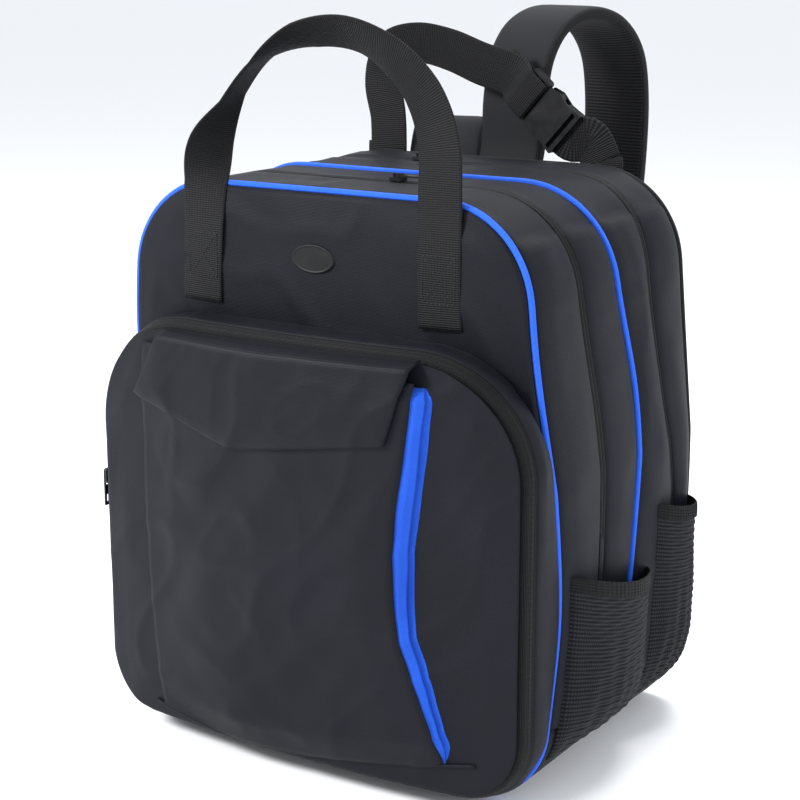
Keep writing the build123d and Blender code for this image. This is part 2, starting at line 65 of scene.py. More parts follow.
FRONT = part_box("front_panel_lower")[0][1]
_, BACK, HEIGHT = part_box("back_binding")[1]
MIDDLE = centre("middle_piping")[1]
REAR_ZIP = centre("rear_zip_chain")[1]
MAIN_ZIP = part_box("main_zip_tape_top")[1][1] + 0.4 * MM

# Half widths of the bag at its base, at its waist and at its top, and the radii of its corners.
BASE_HALF, WAIST_HALF, TOP_HALF = 0.200, 0.2015, 0.181
WAIST_Z = 0.25
FOOT_R, TOP_R = 0.060, 0.081

(_, FACE_FRONT, POCKET_LOW), (POCKET_HALF, _, _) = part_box("pocket_face_lower")
POCKET_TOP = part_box("pocket_face_upper")[1][2]
POCKET_FOOT_R, POCKET_HEAD_R = 0.055, 0.095

CLOTH = 1.6 * MM
PIPE_RADIUS = 2.6 * MM
ZIP_SIDE = 3.2 * MM  # cloth stops this far from the middle of a zip
PIPE_SIDE = 2.2 * MM  # and this far from the middle of a piping
EDGE_SIDE = 4.6 * MM  # and this far from the bag's front and back
TINY = 1e-5


# --- Curves and warps ---


def lerp(table, z):
    """Smooth value through a table of (z, value) pairs."""
    if z <= table[0][0]:
        return table[0][1]
    last = len(table) - 1
    for i in range(last):
        (z0, v0), (z1, v1) = table[i], table[i + 1]
        if z <= z1:
            span = z1 - z0
            t = (z - z0) / span
            za, va = table[max(i - 1, 0)]
            zb, vb = table[min(i + 2, last)]
            m0 = (v1 - va) / (z1 - za) * span
            m1 = (vb - v0) / (zb - z0) * span
            h = t * t * (3 - 2 * t)
            return v0 + (v1 - v0) * h + m0 * t * (1 - t) ** 2 - m1 * t * t * (1 - t)
    return table[-1][1]


# How far the front edge, the middle piping and the rear zip are drawn back, by height.
SWEEP_FRONT = ((0, 0), (0.05, 0.006), (0.15, 0.022), (0.25, 0.011), (0.36, -0.005), (0.47, -0.005))
SWEEP_MIDDLE = ((0, 0.004), (0.10, 0.016), (0.20, 0.028), (0.30, 0.033), (0.40, 0.010), (0.47, 0.004))
SWEEP_ZIP = ((0, 0.0), (0.10, 0.020), (0.20, 0.020), (0.30, -0.002), (0.41, -0.018), (0.47, 0.0))


def sweep_back(x, y, z):
    """How far the shell is drawn back at this place, towards its sides."""
    k = min(1.2, (x / BASE_HALF) ** 2)
    stops = (
        (FRONT, lerp(SWEEP_FRONT, z)),
        (MIDDLE, lerp(SWEEP_MIDDLE, z)),
        (REAR_ZIP, lerp(SWEEP_ZIP, z)),
        (BACK, 0.0),
    )
    if y <= stops[0][0]:
        return stops[0][1] * k
    for (y0, v0), (y1, v1) in zip(stops, stops[1:]):
        if y <= y1:
            return (v0 + (v1 - v0) * (y - y0) / (y1 - y0)) * k
    return 0.0


def arc(x, z, radius, start, end, count):
    """Points of an arc about (x, z), its angles counted from +X towards +Z."""
    angles = [start + (end - start) * i / count for i in range(count + 1)]
    return [(x + radius * cos(a), z + radius * sin(a)) for a in angles]


def half_loop(inset):
    """Right half of the bag's outline, from the middle of the bottom to the middle of the top."""
    narrowing, rise = WAIST_HALF - TOP_HALF, HEIGHT - WAIST_Z
    slope = atan2(narrowing, rise)
    top_x = WAIST_HALF - (HEIGHT - TOP_R - WAIST_Z) * narrowing / rise
    top_x -= TOP_R / cos(slope)
    pts = [(0.0, inset)]
    pts += arc(BASE_HALF - FOOT_R, FOOT_R, FOOT_R - inset, -pi / 2, 0, 14)
    for i in range(1, 6):
        x = BASE_HALF + (WAIST_HALF - BASE_HALF) * i / 6
        pts.append((x - inset, FOOT_R + (WAIST_Z - FOOT_R) * i / 6))
    pts.append((WAIST_HALF - inset - 0.4 * MM, WAIST_Z))
    pts += arc(top_x, HEIGHT - TOP_R, TOP_R - inset, slope, pi / 2, 16)
    pts.append((0.0, HEIGHT - inset))
    return pts


def pocket_half_loop(inset):
    """Right half of the pocket's outline, from the middle of the bottom to the middle of the top."""
    foot, head = POCKET_FOOT_R, POCKET_HEAD_R
    pts = [(0.0, POCKET_LOW + inset)]
    pts += arc(POCKET_HALF - foot, POCKET_LOW + foot, foot - inset, -pi / 2, 0, 12)
    pts += arc(POCKET_HALF - head, POCKET_TOP - head, head - inset, 0, pi / 2, 16)
    pts.append((0.0, POCKET_TOP - inset))
    return pts


def full_loop(half):
    """Whole outline from the middle of the bottom, up the right, over the top and down the left."""
    return half + [(-x, z) for x, z in reversed(half[1:-1])]


class Loop:
    """Closed outline measured by arc length."""

    def __init__(self, points):
        self.p = points + [points[0]]
        self.d = [0.0]
        for (x0, z0), (x1, z1) in zip(self.p, self.p[1:]):
            self.d.append(self.d[-1] + hypot(x1 - x0, z1 - z0))
        self.length = self.d[-1]

    def at(self, s):
        """Point at arc length s."""
        s = s % self.length
        i = min(max(bisect.bisect_right(self.d, s) - 1, 0), len(self.p) - 2)
        t = (s - self.d[i]) / max(self.d[i + 1] - self.d[i], 1e-9)
        (x0, z0), (x1, z1) = self.p[i], self.p[i + 1]
        return x0 + (x1 - x0) * t, z0 + (z1 - z0) * t

    def frame(self, s, reach=4 * MM):
        """Point and outward normal, the normal taken over a short reach to either side."""
        x, z = self.at(s)
        xa, za = self.at(s - reach)
        xb, zb = self.at(s + reach)
        n = hypot(xb - xa, zb - za)
        return x, z, (zb - za) / n, -(xb - xa) / n

    def rise_to(self, z):
        """Arc length at which the right half first passes height z."""
        for i in range(len(self.p) // 2):
            z0, z1 = self.p[i][1], self.p[i + 1][1]
            if z0 <= z <= z1 and z1 > z0:
                return self.d[i] + (self.d[i + 1] - self.d[i]) * (z - z0) / (z1 - z0)
        return self.length / 2


body_loop = Loop(full_loop(half_loop(0.0)))
pocket_loop = Loop(full_loop(pocket_half_loop(0.0)))


def half_width(half_points, z):
    """Half the outline's width at a height."""
    best = 0.0
    for (x0, z0), (x1, z1) in zip(half_points, half_points[1:]):
        if z0 <= z <= z1 and z1 > z0:
            best = max(best, x0 + (x1 - x0) * (z - z0) / (z1 - z0))
    return best


def folds(x, y, z, size, lean=0.6, seed=0.0):
    """Soft diagonal folds of cloth, about -1 to 1."""
    a = (x + lean * z) / size
    b = (z - lean * x) / (size * 2.6)
    n = noise.noise(Vector((a + seed, b, y / size + seed)))
    m = noise.noise(Vector((a * 2.3 + seed, b * 2.0, y / size * 2 - seed)))
    crease = 1 - abs(noise.noise(Vector((a * 0.9 - seed, b * 1.3, seed)))) * 5.0
    return (1 - abs(n) * 2.4) * 0.55 + m * 0.45 + 0.55 * max(0.0, crease) ** 2


# --- Mesh helpers ---


def new_piece(name, verts, faces, uvs, mat):
    """Mesh object with uvs per vertex, smooth shading and a material."""
    me = bpy.data.meshes.new(name)
    me.from_pydata([tuple(v) for v in verts], [], faces)
    layer = me.uv_layers.new(name="uv")
    for poly in me.polygons:
        poly.use_smooth = True
        for li in poly.loop_indices:
            layer.data[li].uv = uvs[me.loops[li].vertex_index]
    obj = bpy.data.objects.new(name, me)
    bpy.context.scene.collection.objects.link(obj)
    for m in mat if isinstance(mat, (list, tuple)) else [mat]:
        me.materials.append(m)
    return obj


def bake(obj):
    """Applies every modifier of the piece."""
    deps = bpy.context.evaluated_depsgraph_get()
    me = bpy.data.meshes.new_from_object(obj.evaluated_get(deps))
    obj.modifiers.clear()
    obj.data = me
    return obj


def grid(name, f, nu, nv, lu, lv, mat, thick=0.0):
    """Surface through f(u, v) with real-size uvs; thick grows it on the inner side."""
    verts, uvs, faces = [], [], []
    for j in range(nv + 1):
        for i in range(nu + 1):
            u, v = i / nu, j / nv
            verts.append(f(u, v))
            uvs.append((u * lu, v * lv))
    for j in range(nv):
        for i in range(nu):
            a = j * (nu + 1) + i
            faces.append((a, a + 1, a + nu + 2, a + nu + 1))
    obj = new_piece(name, verts, faces, uvs, mat)
    if thick:
        m = obj.modifiers.new("thick", "SOLIDIFY")
        m.thickness = thick
        m.offset = -1
        m.use_even_offset = False
        bake(obj)
    return obj


def catmull(points, steps):
    """Smooth run through the points."""
    pts = [Vector(p) for p in points]
    pts = [pts[0] * 2 - pts[1]] + pts + [pts[-1] * 2 - pts[-2]]
    out = []
    for i in range(1, len(pts) - 2):
        p0, p1, p2, p3 = pts[i - 1 : i + 3]
        for k in range(steps):
            t = k / steps
            curve = (2 * p0 - 5 * p1 + 4 * p2 - p3) * t * t + (3 * p1 - p0 - 3 * p2 + p3) * t * t * t
            out.append(0.5 * (2 * p1 + (p2 - p0) * t + curve))
    out.append(pts[-2])
    return out


def signed_power(value, power):
    """Power of the size of a value, with the value's sign."""
    return abs(value) ** power * (1 if value > 0 else -1)


def band_section(width, thick, square, count):
    """Rounded flat section, from a nearly square one (low number) to an oval one."""
    out = []
    for i in range(count):
        a = 2 * pi * i / count
        out.append((width / 2 * signed_power(cos(a), square), thick / 2 * signed_power(sin(a), square)))
    return out


def ribbon(name, path, sides, width, thick, mat, square=0.35, count=28, ends=0.4, warp=None):
    """Flat strap along path; sides holds the direction of its width at each point."""
    verts, uvs, faces = [], [], []
    n = len(path)
    length = 0.0
    for i, p in enumerate(path):
        a, b = path[max(i - 1, 0)], path[min(i + 1, n - 1)]
        t = (b - a).normalized()
        s = sides[i] - t * sides[i].dot(t)
        s.normalize()
        up = t.cross(s)
        if i:
            length += (p - path[i - 1]).length
        k = ends if i in (0, n - 1) else 1.0
        for w, h in band_section(width, thick, square, count):
            q = p + s * w + up * h * k
            verts.append(warp(q) if warp else q)
            uvs.append((w, length))
    for i in range(n - 1):
        for j in range(count):
            a, b = i * count + j, i * count + (j + 1) % count
            faces.append((a, b, b + count, a + count))
    faces.append(tuple(reversed(range(count))))
    faces.append(tuple((n - 1) * count + j for j in range(count)))
    return new_piece(name, verts, faces, uvs, mat)


def tube(name, path, radius, mat, closed=False, count=10):
    """Round cord along path."""
    verts, uvs, faces = [], [], []
    n = len(path)
    ref = Vector((0, 1, 0))
    length = 0.0
    for i, p in enumerate(path):
        if closed:
            t = path[(i + 1) % n] - path[i - 1]
        else:
            t = path[min(i + 1, n - 1)] - path[max(i - 1, 0)]
        t.normalize()
        s = t.cross(ref).normalized()
        w = s.cross(t)
        if i:
            length += (p - path[i - 1]).length
        for j in range(count):
            a = 2 * pi * j / count
            verts.append(p + (s * cos(a) + w * sin(a)) * radius)
            uvs.append((length, radius * a))
    rings = n if closed else n - 1
    for i in range(rings):
        for j in range(count):
            a, b = i * count + j, i * count + (j + 1) % count
            c, d = ((i + 1) % n) * count + j, ((i + 1) % n) * count + (j + 1) % count
            faces.append((a, b, d, c))
    if not closed:
        faces.append(tuple(reversed(range(count))))
        faces.append(tuple((n - 1) * count + j for j in range(count)))
    return new_piece(name, verts, faces, uvs, mat)


def stitches(name, runs, step=3.6 * MM, long=2.4 * MM, r=0.32 * MM, sides=5):
    """Rows of thread stitches that lie on the cloth, as one piece."""
    verts, uvs, faces = [], [], []
    for run in runs:
        pts = [Vector(p) for p in run]
        dist = [0.0]
        for a, b in zip(pts, pts[1:]):
            dist.append(dist[-1] + (b - a).length)

        def place(s):
            i = min(max(bisect.bisect_right(dist, s) - 1, 0), len(pts) - 2)
            t = (s - dist[i]) / max(dist[i + 1] - dist[i], 1e-9)
            return pts[i].lerp(pts[i + 1], t)

        s = 0.0
        while s + long < dist[-1]:
            a, b = place(s), place(s + long)
            t = (b - a).normalized()
            u = t.cross(Vector((0.31, 0.55, 0.77))).normalized()
            w = t.cross(u)
            base = len(verts)
            for q, k in ((a, 0.3), (a.lerp(b, 0.25), 1), (a.lerp(b, 0.75), 1), (b, 0.3)):
                for j in range(sides):
                    ang = 2 * pi * j / sides
                    verts.append(q + (u * cos(ang) + w * sin(ang)) * r * k)
                    uvs.append((0, 0))
            for c in range(base, base + 3 * sides, sides):
                for j in range(sides):
                    k = (j + 1) % sides
                    faces.append((c + j, c + k, c + sides + k, c + sides + j))
            s += step
    return new_piece(name, verts, faces, uvs, M_THREAD)


# --- Materials ---


def shader(name, base, rough, sheen=0.0, coat=0.0, spec=0.5):
    """Material with one Principled shader whose constants sit on its own sockets."""
    m = bpy.data.materials.new(name)
    m.use_nodes = True
    b = m.node_tree.nodes["Principled BSDF"]
    b.inputs["Base Color"].default_value = (*base, 1)
    b.inputs["Roughness"].default_value = rough
    b.inputs["Specular IOR Level"].default_value = spec
    b.inputs["Sheen Weight"].default_value = sheen
    b.inputs["Sheen Roughness"].default_value = 0.45
    b.inputs["Coat Weight"].default_value = coat
    return m, m.node_tree, b


def node(tree, kind, **values):
    """Shader node with inputs set by name."""
    n = tree.nodes.new(kind)
    for key, value in values.items():
        n.inputs[key.replace("_", " ")].default_value = value
    return n


def mapped(tree, scale, coords="UV"):
    """Coordinates scaled per axis: uv in metres, or object space."""
    tc = tree.nodes.new("ShaderNodeTexCoord")
    mp = tree.nodes.new("ShaderNodeMapping")
    mp.inputs["Scale"].default_value = scale
    tree.links.new(tc.outputs[coords], mp.inputs["Vector"])
    return mp.outputs["Vector"]


def waves(tree, vector, along, distortion):
    """Sine bands; the mapped vector sets their pitch (one band per 2*pi/20 units)."""
    w = tree.nodes.new("ShaderNodeTexWave")
    w.wave_type = "BANDS"
    w.bands_direction = along
    w.wave_profile = "SIN"
    w.inputs["Scale"].default_value = 1.0
    w.inputs["Distortion"].default_value = distortion
    w.inputs["Detail"].default_value = 0.0
    tree.links.new(vector, w.inputs["Vector"])
    return w.outputs["Fac"]


def math(tree, op, a, b):
    """One math node."""
    n = tree.nodes.new("ShaderNodeMath")
    n.operation = op
    for i, v in enumerate((a, b)):
        if isinstance(v, (int, float)):
            n.inputs[i].default_value = v
        else:
            tree.links.new(v, n.inputs[i])
    return n.outputs[0]


def noise_of(tree, scale, detail, coords="Object"):
    """Noise in object space or uv, scale per metre."""
    v = mapped(tree, (1, 1, 1), coords)
    n = node(tree, "ShaderNodeTexNoise", Scale=scale, Detail=detail, Roughness=0.55)
    tree.links.new(v, n.inputs["Vector"])
    return n.outputs["Fac"]


def ramp(tree, fac, low, high, lo_pos, hi_pos):
    """Colour between low and high."""
    r = tree.nodes.new("ShaderNodeValToRGB")
    r.color_ramp.elements[0].position = lo_pos
    r.color_ramp.elements[1].position = hi_pos
    r.color_ramp.elements[0].color = (*low, 1)
    r.color_ramp.elements[1].color = (*high, 1)
    tree.links.new(fac, r.inputs["Fac"])
    return r.outputs["Color"]


def bump(tree, shader_node, height, strength, distance):
    """Bump from a height into the shader's normal."""
    n = node(tree, "ShaderNodeBump", Strength=strength, Distance=distance)
    tree.links.new(height, n.inputs["Height"])
    tree.links.new(n.outputs["Normal"], shader_node.inputs["Normal"])


def rough_range(tree, shader_node, fac, low, high):
    """Roughness between low and high over fac."""
    m = tree.nodes.new("ShaderNodeMapRange")
    m.inputs["To Min"].default_value = low
    m.inputs["To Max"].default_value = high
    tree.links.new(fac, m.inputs["Value"])
    tree.links.new(m.outputs["Result"], shader_node.inputs["Roughness"])


PITCH = 2 * pi / 20  # units that one band of the wave texture takes


def woven(name, base, light, thread=1.0 * MM, rough=0.78, sheen=0.25, depth=0.35, worn=0.12):
    """Plain-woven cloth: crossed threads on real-size uvs, slubs and mottling."""
    m, t, b = shader(name, base, rough, sheen=sheen, spec=0.13)
    k = PITCH / thread
    v = mapped(t, (k, k, k))
    warp_t = waves(t, v, "X", 0.3)
    weft_t = waves(t, v, "Y", 0.3)
    weave = math(t, "MULTIPLY", warp_t, weft_t)
    slub = noise_of(t, 900.0, 2.0, "UV")
    mottle = noise_of(t, 9.0, 4.0)
    tone = math(t, "ADD", math(t, "MULTIPLY", weave, 0.45), math(t, "MULTIPLY", slub, 0.25))
    tone = math(t, "ADD", tone, math(t, "MULTIPLY", mottle, 0.5))
    t.links.new(ramp(t, tone, base, light, 0.30, 0.85), b.inputs["Base Color"])
    height = math(t, "ADD", weave, math(t, "MULTIPLY", slub, 0.6))
    bump(t, b, height, depth, 0.0004)
    rough_range(t, b, mottle, rough - worn, rough + 0.08)
    return m


def ribbed(name, base, light, rib=1.6 * MM, rough=0.6, sheen=0.15, along="Y", depth=0.6):
    """Webbing or tape: ribs across the width with a woven edge, and painted highlight flecks for glints off
    the fibres.
    """
    m, t, b = shader(name, base, rough, sheen=sheen, spec=0.13)
    v = mapped(t, (PITCH / rib, PITCH / rib, PITCH / rib))
    ribs = waves(t, v, along, 0.2)
    v2 = mapped(t, (PITCH / (2.6 * MM), PITCH / (2.6 * MM), 1))
    cross = waves(t, v2, "X" if along == "Y" else "Y", 0.5)
    # Light flecks painted into the colour stand for glints off the fibres: painted highlights. The same noise
    # also varies the roughness.
    glint_fleck = noise_of(t, 1400.0, 1.0, "UV")
    tone = math(t, "ADD", math(t, "MULTIPLY", ribs, 0.5), math(t, "MULTIPLY", glint_fleck, 0.5))
    t.links.new(ramp(t, tone, base, light, 0.35, 0.95), b.inputs["Base Color"])
    height = math(t, "ADD", ribs, math(t, "MULTIPLY", cross, 0.35))
    bump(t, b, height, depth, 0.0006)
    rough_range(t, b, glint_fleck, rough - 0.08, rough + 0.1)
    return m


def knitted(name, base, light, cell=3.2 * MM, rough=0.8, depth=0.8):
    """Ribbed stretch mesh: rows of small dark holes between raised ribs."""
    m, t, b = shader(name, base, rough, sheen=0.03, spec=0.15)
    v = mapped(t, (PITCH / cell, PITCH / cell, PITCH / cell))
    rows = waves(t, v, "Y", 0.25)
    v2 = mapped(t, (PITCH / (cell * 0.55), PITCH / (cell * 0.55), 1))
    holes = waves(t, v2, "X", 0.4)
    cell_h = math(t, "MULTIPLY", rows, math(t, "ADD", math(t, "MULTIPLY", holes, 0.6), 0.4))
    fuzz = noise_of(t, 1100.0, 2.0, "UV")
    tone = math(t, "ADD", math(t, "MULTIPLY", cell_h, 0.7), math(t, "MULTIPLY", fuzz, 0.3))
    t.links.new(ramp(t, tone, base, light, 0.15, 0.9), b.inputs["Base Color"])
    bump(t, b, cell_h, depth, 0.001)
    rough_range(t, b, fuzz, rough - 0.1, rough + 0.1)
    return m


def moulded(name, base, rough, coat=0.0, grain=1500.0):
    """Moulded plastic, rubber or enamel: fine grain, handling marks and softened gloss."""
    m, t, b = shader(name, base, rough, coat=coat, spec=0.22)
    fine = noise_of(t, grain, 2.0)
    marks = noise_of(t, 60.0, 5.0)
    light = tuple(min(1, c * 1.9 + 0.004) for c in base)
    t.links.new(ramp(t, marks, base, light, 0.45, 0.8), b.inputs["Base Color"])
    bump(t, b, fine, 0.12, 0.0002)
    rough_range(t, b, marks, rough - 0.1, rough + 0.14)
    return m


M_SHELL = woven(
    "shell_cloth", (0.0022, 0.0024, 0.0046), (0.0086, 0.0094, 0.0150), 1.1 * MM, 0.55, sheen=0.010
)
M_LINING = woven("lining_cloth", (0.03, 0.03, 0.033), (0.075, 0.075, 0.08), 0.8 * MM)
M_BLUE = woven("blue_cloth", (0.008, 0.045, 0.34), (0.02, 0.12, 0.66), 0.9 * MM, sheen=0.05)
M_PIPE = ribbed(
    "blue_piping_tape", (0.010, 0.075, 0.60), (0.045, 0.20, 0.95), 0.9 * MM, 0.5, sheen=0.05, along="X"
)
M_BIND = ribbed(
    "binding_tape", (0.003, 0.003, 0.0035), (0.014, 0.014, 0.016), 1.2 * MM, 0.65, sheen=0.04
)
M_WEB = ribbed(
    "nylon_webbing", (0.0016, 0.0016, 0.0019), (0.0165, 0.0165, 0.0180), 1.7 * MM, 0.6, sheen=0.02
)
M_PAD = woven("strap_cloth", (0.005, 0.0052, 0.0065), (0.018, 0.0185, 0.022), 1.0 * MM, 0.7, sheen=0.04)
M_AIR = knitted("spacer_mesh", (0.002, 0.002, 0.0026), (0.024, 0.024, 0.028), 3.0 * MM)
M_MESH = knitted("stretch_mesh", (0.002, 0.002, 0.003), (0.026, 0.026, 0.031), 3.6 * MM)
M_ELASTIC = ribbed(
    "elastic_tape", (0.003, 0.003, 0.003), (0.014, 0.014, 0.015), 1.0 * MM, 0.75, sheen=0.03
)
M_BUCKLE = moulded("acetal", (0.004, 0.004, 0.0045), 0.36)
M_ZIP = ribbed(
    "zip_tape_cloth", (0.0018, 0.0018, 0.002), (0.012, 0.012, 0.014), 1.3 * MM, 0.55, sheen=0.02, along="X"
)
M_METAL = moulded("black_enamel", (0.005, 0.005, 0.006), 0.42, coat=0.05)
M_RUBBER = moulded("badge_rubber", (0.0020, 0.0020, 0.0024), 0.5, grain=2500.0)
M_BOARD = moulded("base_board", (0.04, 0.04, 0.042), 0.55)
M_THREAD = moulded("sewing_thread", (0.016, 0.0165, 0.021), 0.6)


# --- Shell ---

LOOP = body_loop.length
foot_s = body_loop.rise_to(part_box("front_gusset_sides")[0][2])
s_left = LOOP - foot_s
zip_s = body_loop.rise_to(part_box("main_zip_tape_rear")[0][2])


def shell_point(s, y, out, wrinkle=0.0, seed=0.0):
    """Point on the shell's side wall at arc length s and depth y, pushed outwards by out."""
    x, z, nx, nz = body_loop.frame(s)
    dy = sweep_back(x, y, z)
    w = out + wrinkle * folds(x, y, z, 0.055, 0.5, seed)
    return Vector((x + nx * w, y + dy, max(z + nz * w, 0.0008)))


def side_band(name, y0, y1, s0, s1, bulge, wrinkle, seed, hem=1.4 * MM, sink=0.0):
    """Strip of the shell between two seams: it swells between them and rolls in at its hems."""
    width = y1 - y0
    lu = s1 - s0
    cols = max(8, int(width / 0.0045))
    rows = int(lu / 0.0065)

    def f(u, v):
        s = s0 + lu * v
        y = y0 + width * u
        edge = min(u, 1 - u) * width
        roll = min(1.0, edge / 0.004)
        swell = bulge * 4 * u * (1 - u)
        if body_loop.frame(s)[3] > 0.6:
            swell = swell * 0.2 - sink * 4 * u * (1 - u)
        w = wrinkle * min(1.0, edge / 0.018)
        return shell_point(s, y, swell - hem * (1 - roll), w, seed)

    return grid(name, f, cols, rows, width, lu, M_SHELL, thick=CLOTH)


front_gusset = side_band(
    "front_gusset", FRONT + EDGE_SIDE, MAIN_ZIP - ZIP_SIDE, foot_s, s_left, 4 * MM, 1.7 * MM, 1.0, sink=2 * MM
)
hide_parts("front_gusset_sides", "front_gusset_top")
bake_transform(front_gusset)

middle = side_band(
    "middle_gusset_cloth", MAIN_ZIP + 2.8 * MM, MIDDLE - PIPE_SIDE, foot_s, s_left, 3 * MM, 1.5 * MM,
    2.0, sink=2 * MM,
)
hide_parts("middle_gusset")
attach(middle, "bag_body")

rear_a = side_band(
    "rear_gusset_cloth", MIDDLE + PIPE_SIDE, REAR_ZIP - ZIP_SIDE, foot_s, s_left, 5 * MM, 2.0 * MM,
    3.0, sink=3 * MM,
)
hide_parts("rear_gusset_front")
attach(rear_a, "bag_body")

rear_b = side_band(
    "rear_edge_cloth", REAR_ZIP + ZIP_SIDE, BACK - EDGE_SIDE, foot_s, s_left, 3 * MM, 1.5 * MM, 4.0
)
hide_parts("rear_gusset_back")
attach(rear_b, "bag_body")

bottom = side_band("bottom_cloth", FRONT + EDGE_SIDE, BACK - EDGE_SIDE, -foot_s, foot_s, 0.0, 0.8 * MM, 5.0)
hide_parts("bottom_panel")
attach(bottom, "bag_body")

# Below the main zip's ends its two sides are joined by cloth.
for tag, s0, s1 in (("left", LOOP - zip_s, s_left), ("right", foot_s, zip_s)):
    cover = side_band(
        "main_zip_end_" + tag, MAIN_ZIP - 3.6 * MM, MAIN_ZIP + ZIP_SIDE, s0, s1, 0.2 * MM, 0.3 * MM,
        6.0, hem=0.4 * MM,
    )
    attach(cover, "bag_body")


def zip_band(name, y_mid, s0, s1):
    """Closed zip: two tapes that roll up to a narrow groove between them."""
    half, fold = 3.9 * MM, 2.9 * MM
    lu = s1 - s0
    rows = int(lu / 0.005)

    def f(u, v):
        d = (u * 2 - 1) * half
        r = abs(d)
        lift = -1.7 * MM + 1.5 * MM * min(1.0, (r / (1.0 * MM)) ** 1.5)
        if r > fold:
            lift -= (r - fold) * 1.6
        return shell_point(s0 + lu * v, y_mid + d, lift)

    return grid(name, f, 18, rows, half * 2, lu, M_ZIP)


main_zip = zip_band("main_zip_closed", MAIN_ZIP, zip_s, LOOP - zip_s)
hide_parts("main_zip_tape_sides", "main_zip_tape_top", "main_zip_tape_rear")
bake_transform(main_zip)
rear_zip = zip_band("rear_zip_closed", REAR_ZIP, foot_s, s_left)
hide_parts("rear_zip_chain")
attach(rear_zip, "bag_body")


def piping(name, y, radius, mat, closed, out, step=6 * MM):
    """Covered cord sewn round the shell, all the way or from foot to foot."""
    start, lu = (0.0, LOOP) if closed else (foot_s, s_left - foot_s)
    count = int(lu / step)
    path = [shell_point(start + lu * i / count, y, out) for i in range(count if closed else count + 1)]
    return tube(name, path, radius, mat, closed, 12)


front_pipe = piping(
    "front_piping", FRONT + 2.4 * MM, PIPE_RADIUS, M_PIPE, True, -2.2 * MM
)
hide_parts("front_piping_lower", "front_piping_upper")
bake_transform(front_pipe)
middle_pipe = piping("middle_piping_cord", MIDDLE, PIPE_RADIUS, M_PIPE, False, -0.6 * MM)
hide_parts("middle_piping")
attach(middle_pipe, "bag_body")
binding = piping("back_binding_tape", BACK - 2.6 * MM, 2.9 * MM, M_BIND, True, -2.4 * MM)
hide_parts("back_binding")
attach(binding, "bag_body")


def upright(name, y, crown, wrinkle, mat, thick, seed):
    """Upright panel just inside the outline, crowned towards -Y by crown."""
    inset, lu = 4.2 * MM, 0.4
    half = half_loop(inset)
    z0, z1 = inset, HEIGHT - inset

    def f(u, v):
        z = z0 + (z1 - z0) * v
        hw = half_width(half, min(max(z, z0 + TINY), z1 - TINY))
        x = (2 * u - 1) * hw
        edge = min(min(u, 1 - u) * 2 * hw, z - z0, z1 - z)
        k = min(1.0, max(edge, 0.0) / 0.045)
        k = k * (2 - k)
        dy = sweep_back(x, y, z) - crown * k
        dy -= wrinkle * min(1.0, max(edge, 0.0) / 0.02) * folds(x, y, z, 0.075, 0.8, seed)
        return Vector((x, y + dy, z))

    return grid(name, f, 84, 96, lu, z1 - z0, mat, thick=thick)


front_panel = upright(
    "front_panel", FRONT + 0.5 * MM, 3.2 * MM, 2.5 * MM, M_SHELL, -CLOTH, 11.0
)
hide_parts("front_panel_lower", "front_panel_upper")
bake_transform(front_panel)
divider = upright(
    "divider_cloth", MIDDLE - 0.5 * MM, 0.0, 1.5 * MM, M_LINING, -1.2 * MM, 12.0
)
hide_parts("divider_panel")
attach(divider, "bag_body")
back_panel = upright("back_cloth", BACK - 1.2 * MM, 0.0, 1.0 * MM, M_SHELL, CLOTH, 13.0)
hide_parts("back_panel")
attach(back_panel, "bag_body")


def recolour(node_name, mat):
    """Gives a frame node its material and returns it."""
    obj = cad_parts[node_name]
    obj.data.materials.clear()
    obj.data.materials.append(mat)
    return obj


recolour("base_boards", M_BOARD)


# --- Back pad ---

pad_low, pad_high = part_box("back_pad")


def pad_surface(u, v):
    """Quilted back pad: rounded corners, three channels pressed into the foam."""
    hx = (pad_high[0] - pad_low[0]) / 2
    hz = (pad_high[2] - pad_low[2]) / 2
    cz = (pad_high[2] + pad_low[2]) / 2
    a, b = 2 * u - 1, 2 * v - 1
    x = a * hx * sqrt(1 - 0.10 * b * b * b * b)
    z = b * hz * sqrt(1 - 0.07 * a * a * a * a)
    edge = min(1 - abs(a), (1 - abs(b)) * hz / hx)
    puff = 1 - (1 - min(1.0, edge / 0.16)) ** 2.5
    channel = 0.0
    for c in (-0.36, 0.0, 0.36):
        channel = max(channel, 1 - min(1.0, abs(b - c) / 0.035) ** 1.5)
    depth = (pad_high[1] - BACK) * (0.12 + 0.95 * puff - 0.45 * channel * puff)
    depth += 0.5 * MM * folds(x, 0.1, z, 0.05, 0.3, 21.0)
    return Vector((x, BACK + 0.3 * MM + depth, cz + z))


pad = grid("back_pad_quilt", pad_surface, 70, 96, 0.25, 0.32, M_AIR, thick=-1.5 * MM)
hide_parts("back_pad")
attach(pad, "bag_body")


# --- Front pocket ---

CROWN = 0.020
EDGE_Y = FACE_FRONT + CROWN
FACE_INSET = 7.0 * MM
pocket_half = pocket_half_loop(0.0)
face_half = pocket_half_loop(FACE_INSET)
POCKET_LOOP = pocket_loop.length


def crown_y(x):
    """Depth of the pocket's outer face at x."""
    return EDGE_Y - CROWN * (1 - (x / (POCKET_HALF + 0.015)) ** 2)


def face_y(x, z):
    """Depth of the pocket's front cloth: crowned, rolled back at its edge, softly folded."""
    zq = min(max(z, POCKET_LOW + TINY), POCKET_TOP - TINY)
    hw = max(half_width(pocket_half, zq), 2 * MM)
    d = max(min(hw - abs(x), z - POCKET_LOW, POCKET_TOP - z), 0)
    roll = 0.0045 * (1 - min(1.0, d / 0.010)) ** 2
    k = min(1.0, d / 0.030)
    return crown_y(x) + roll + (0.6 - 1.6 * k) * MM - 2.5 * MM * k * folds(x, 0.0, z, 0.075, -0.9, 31.0)


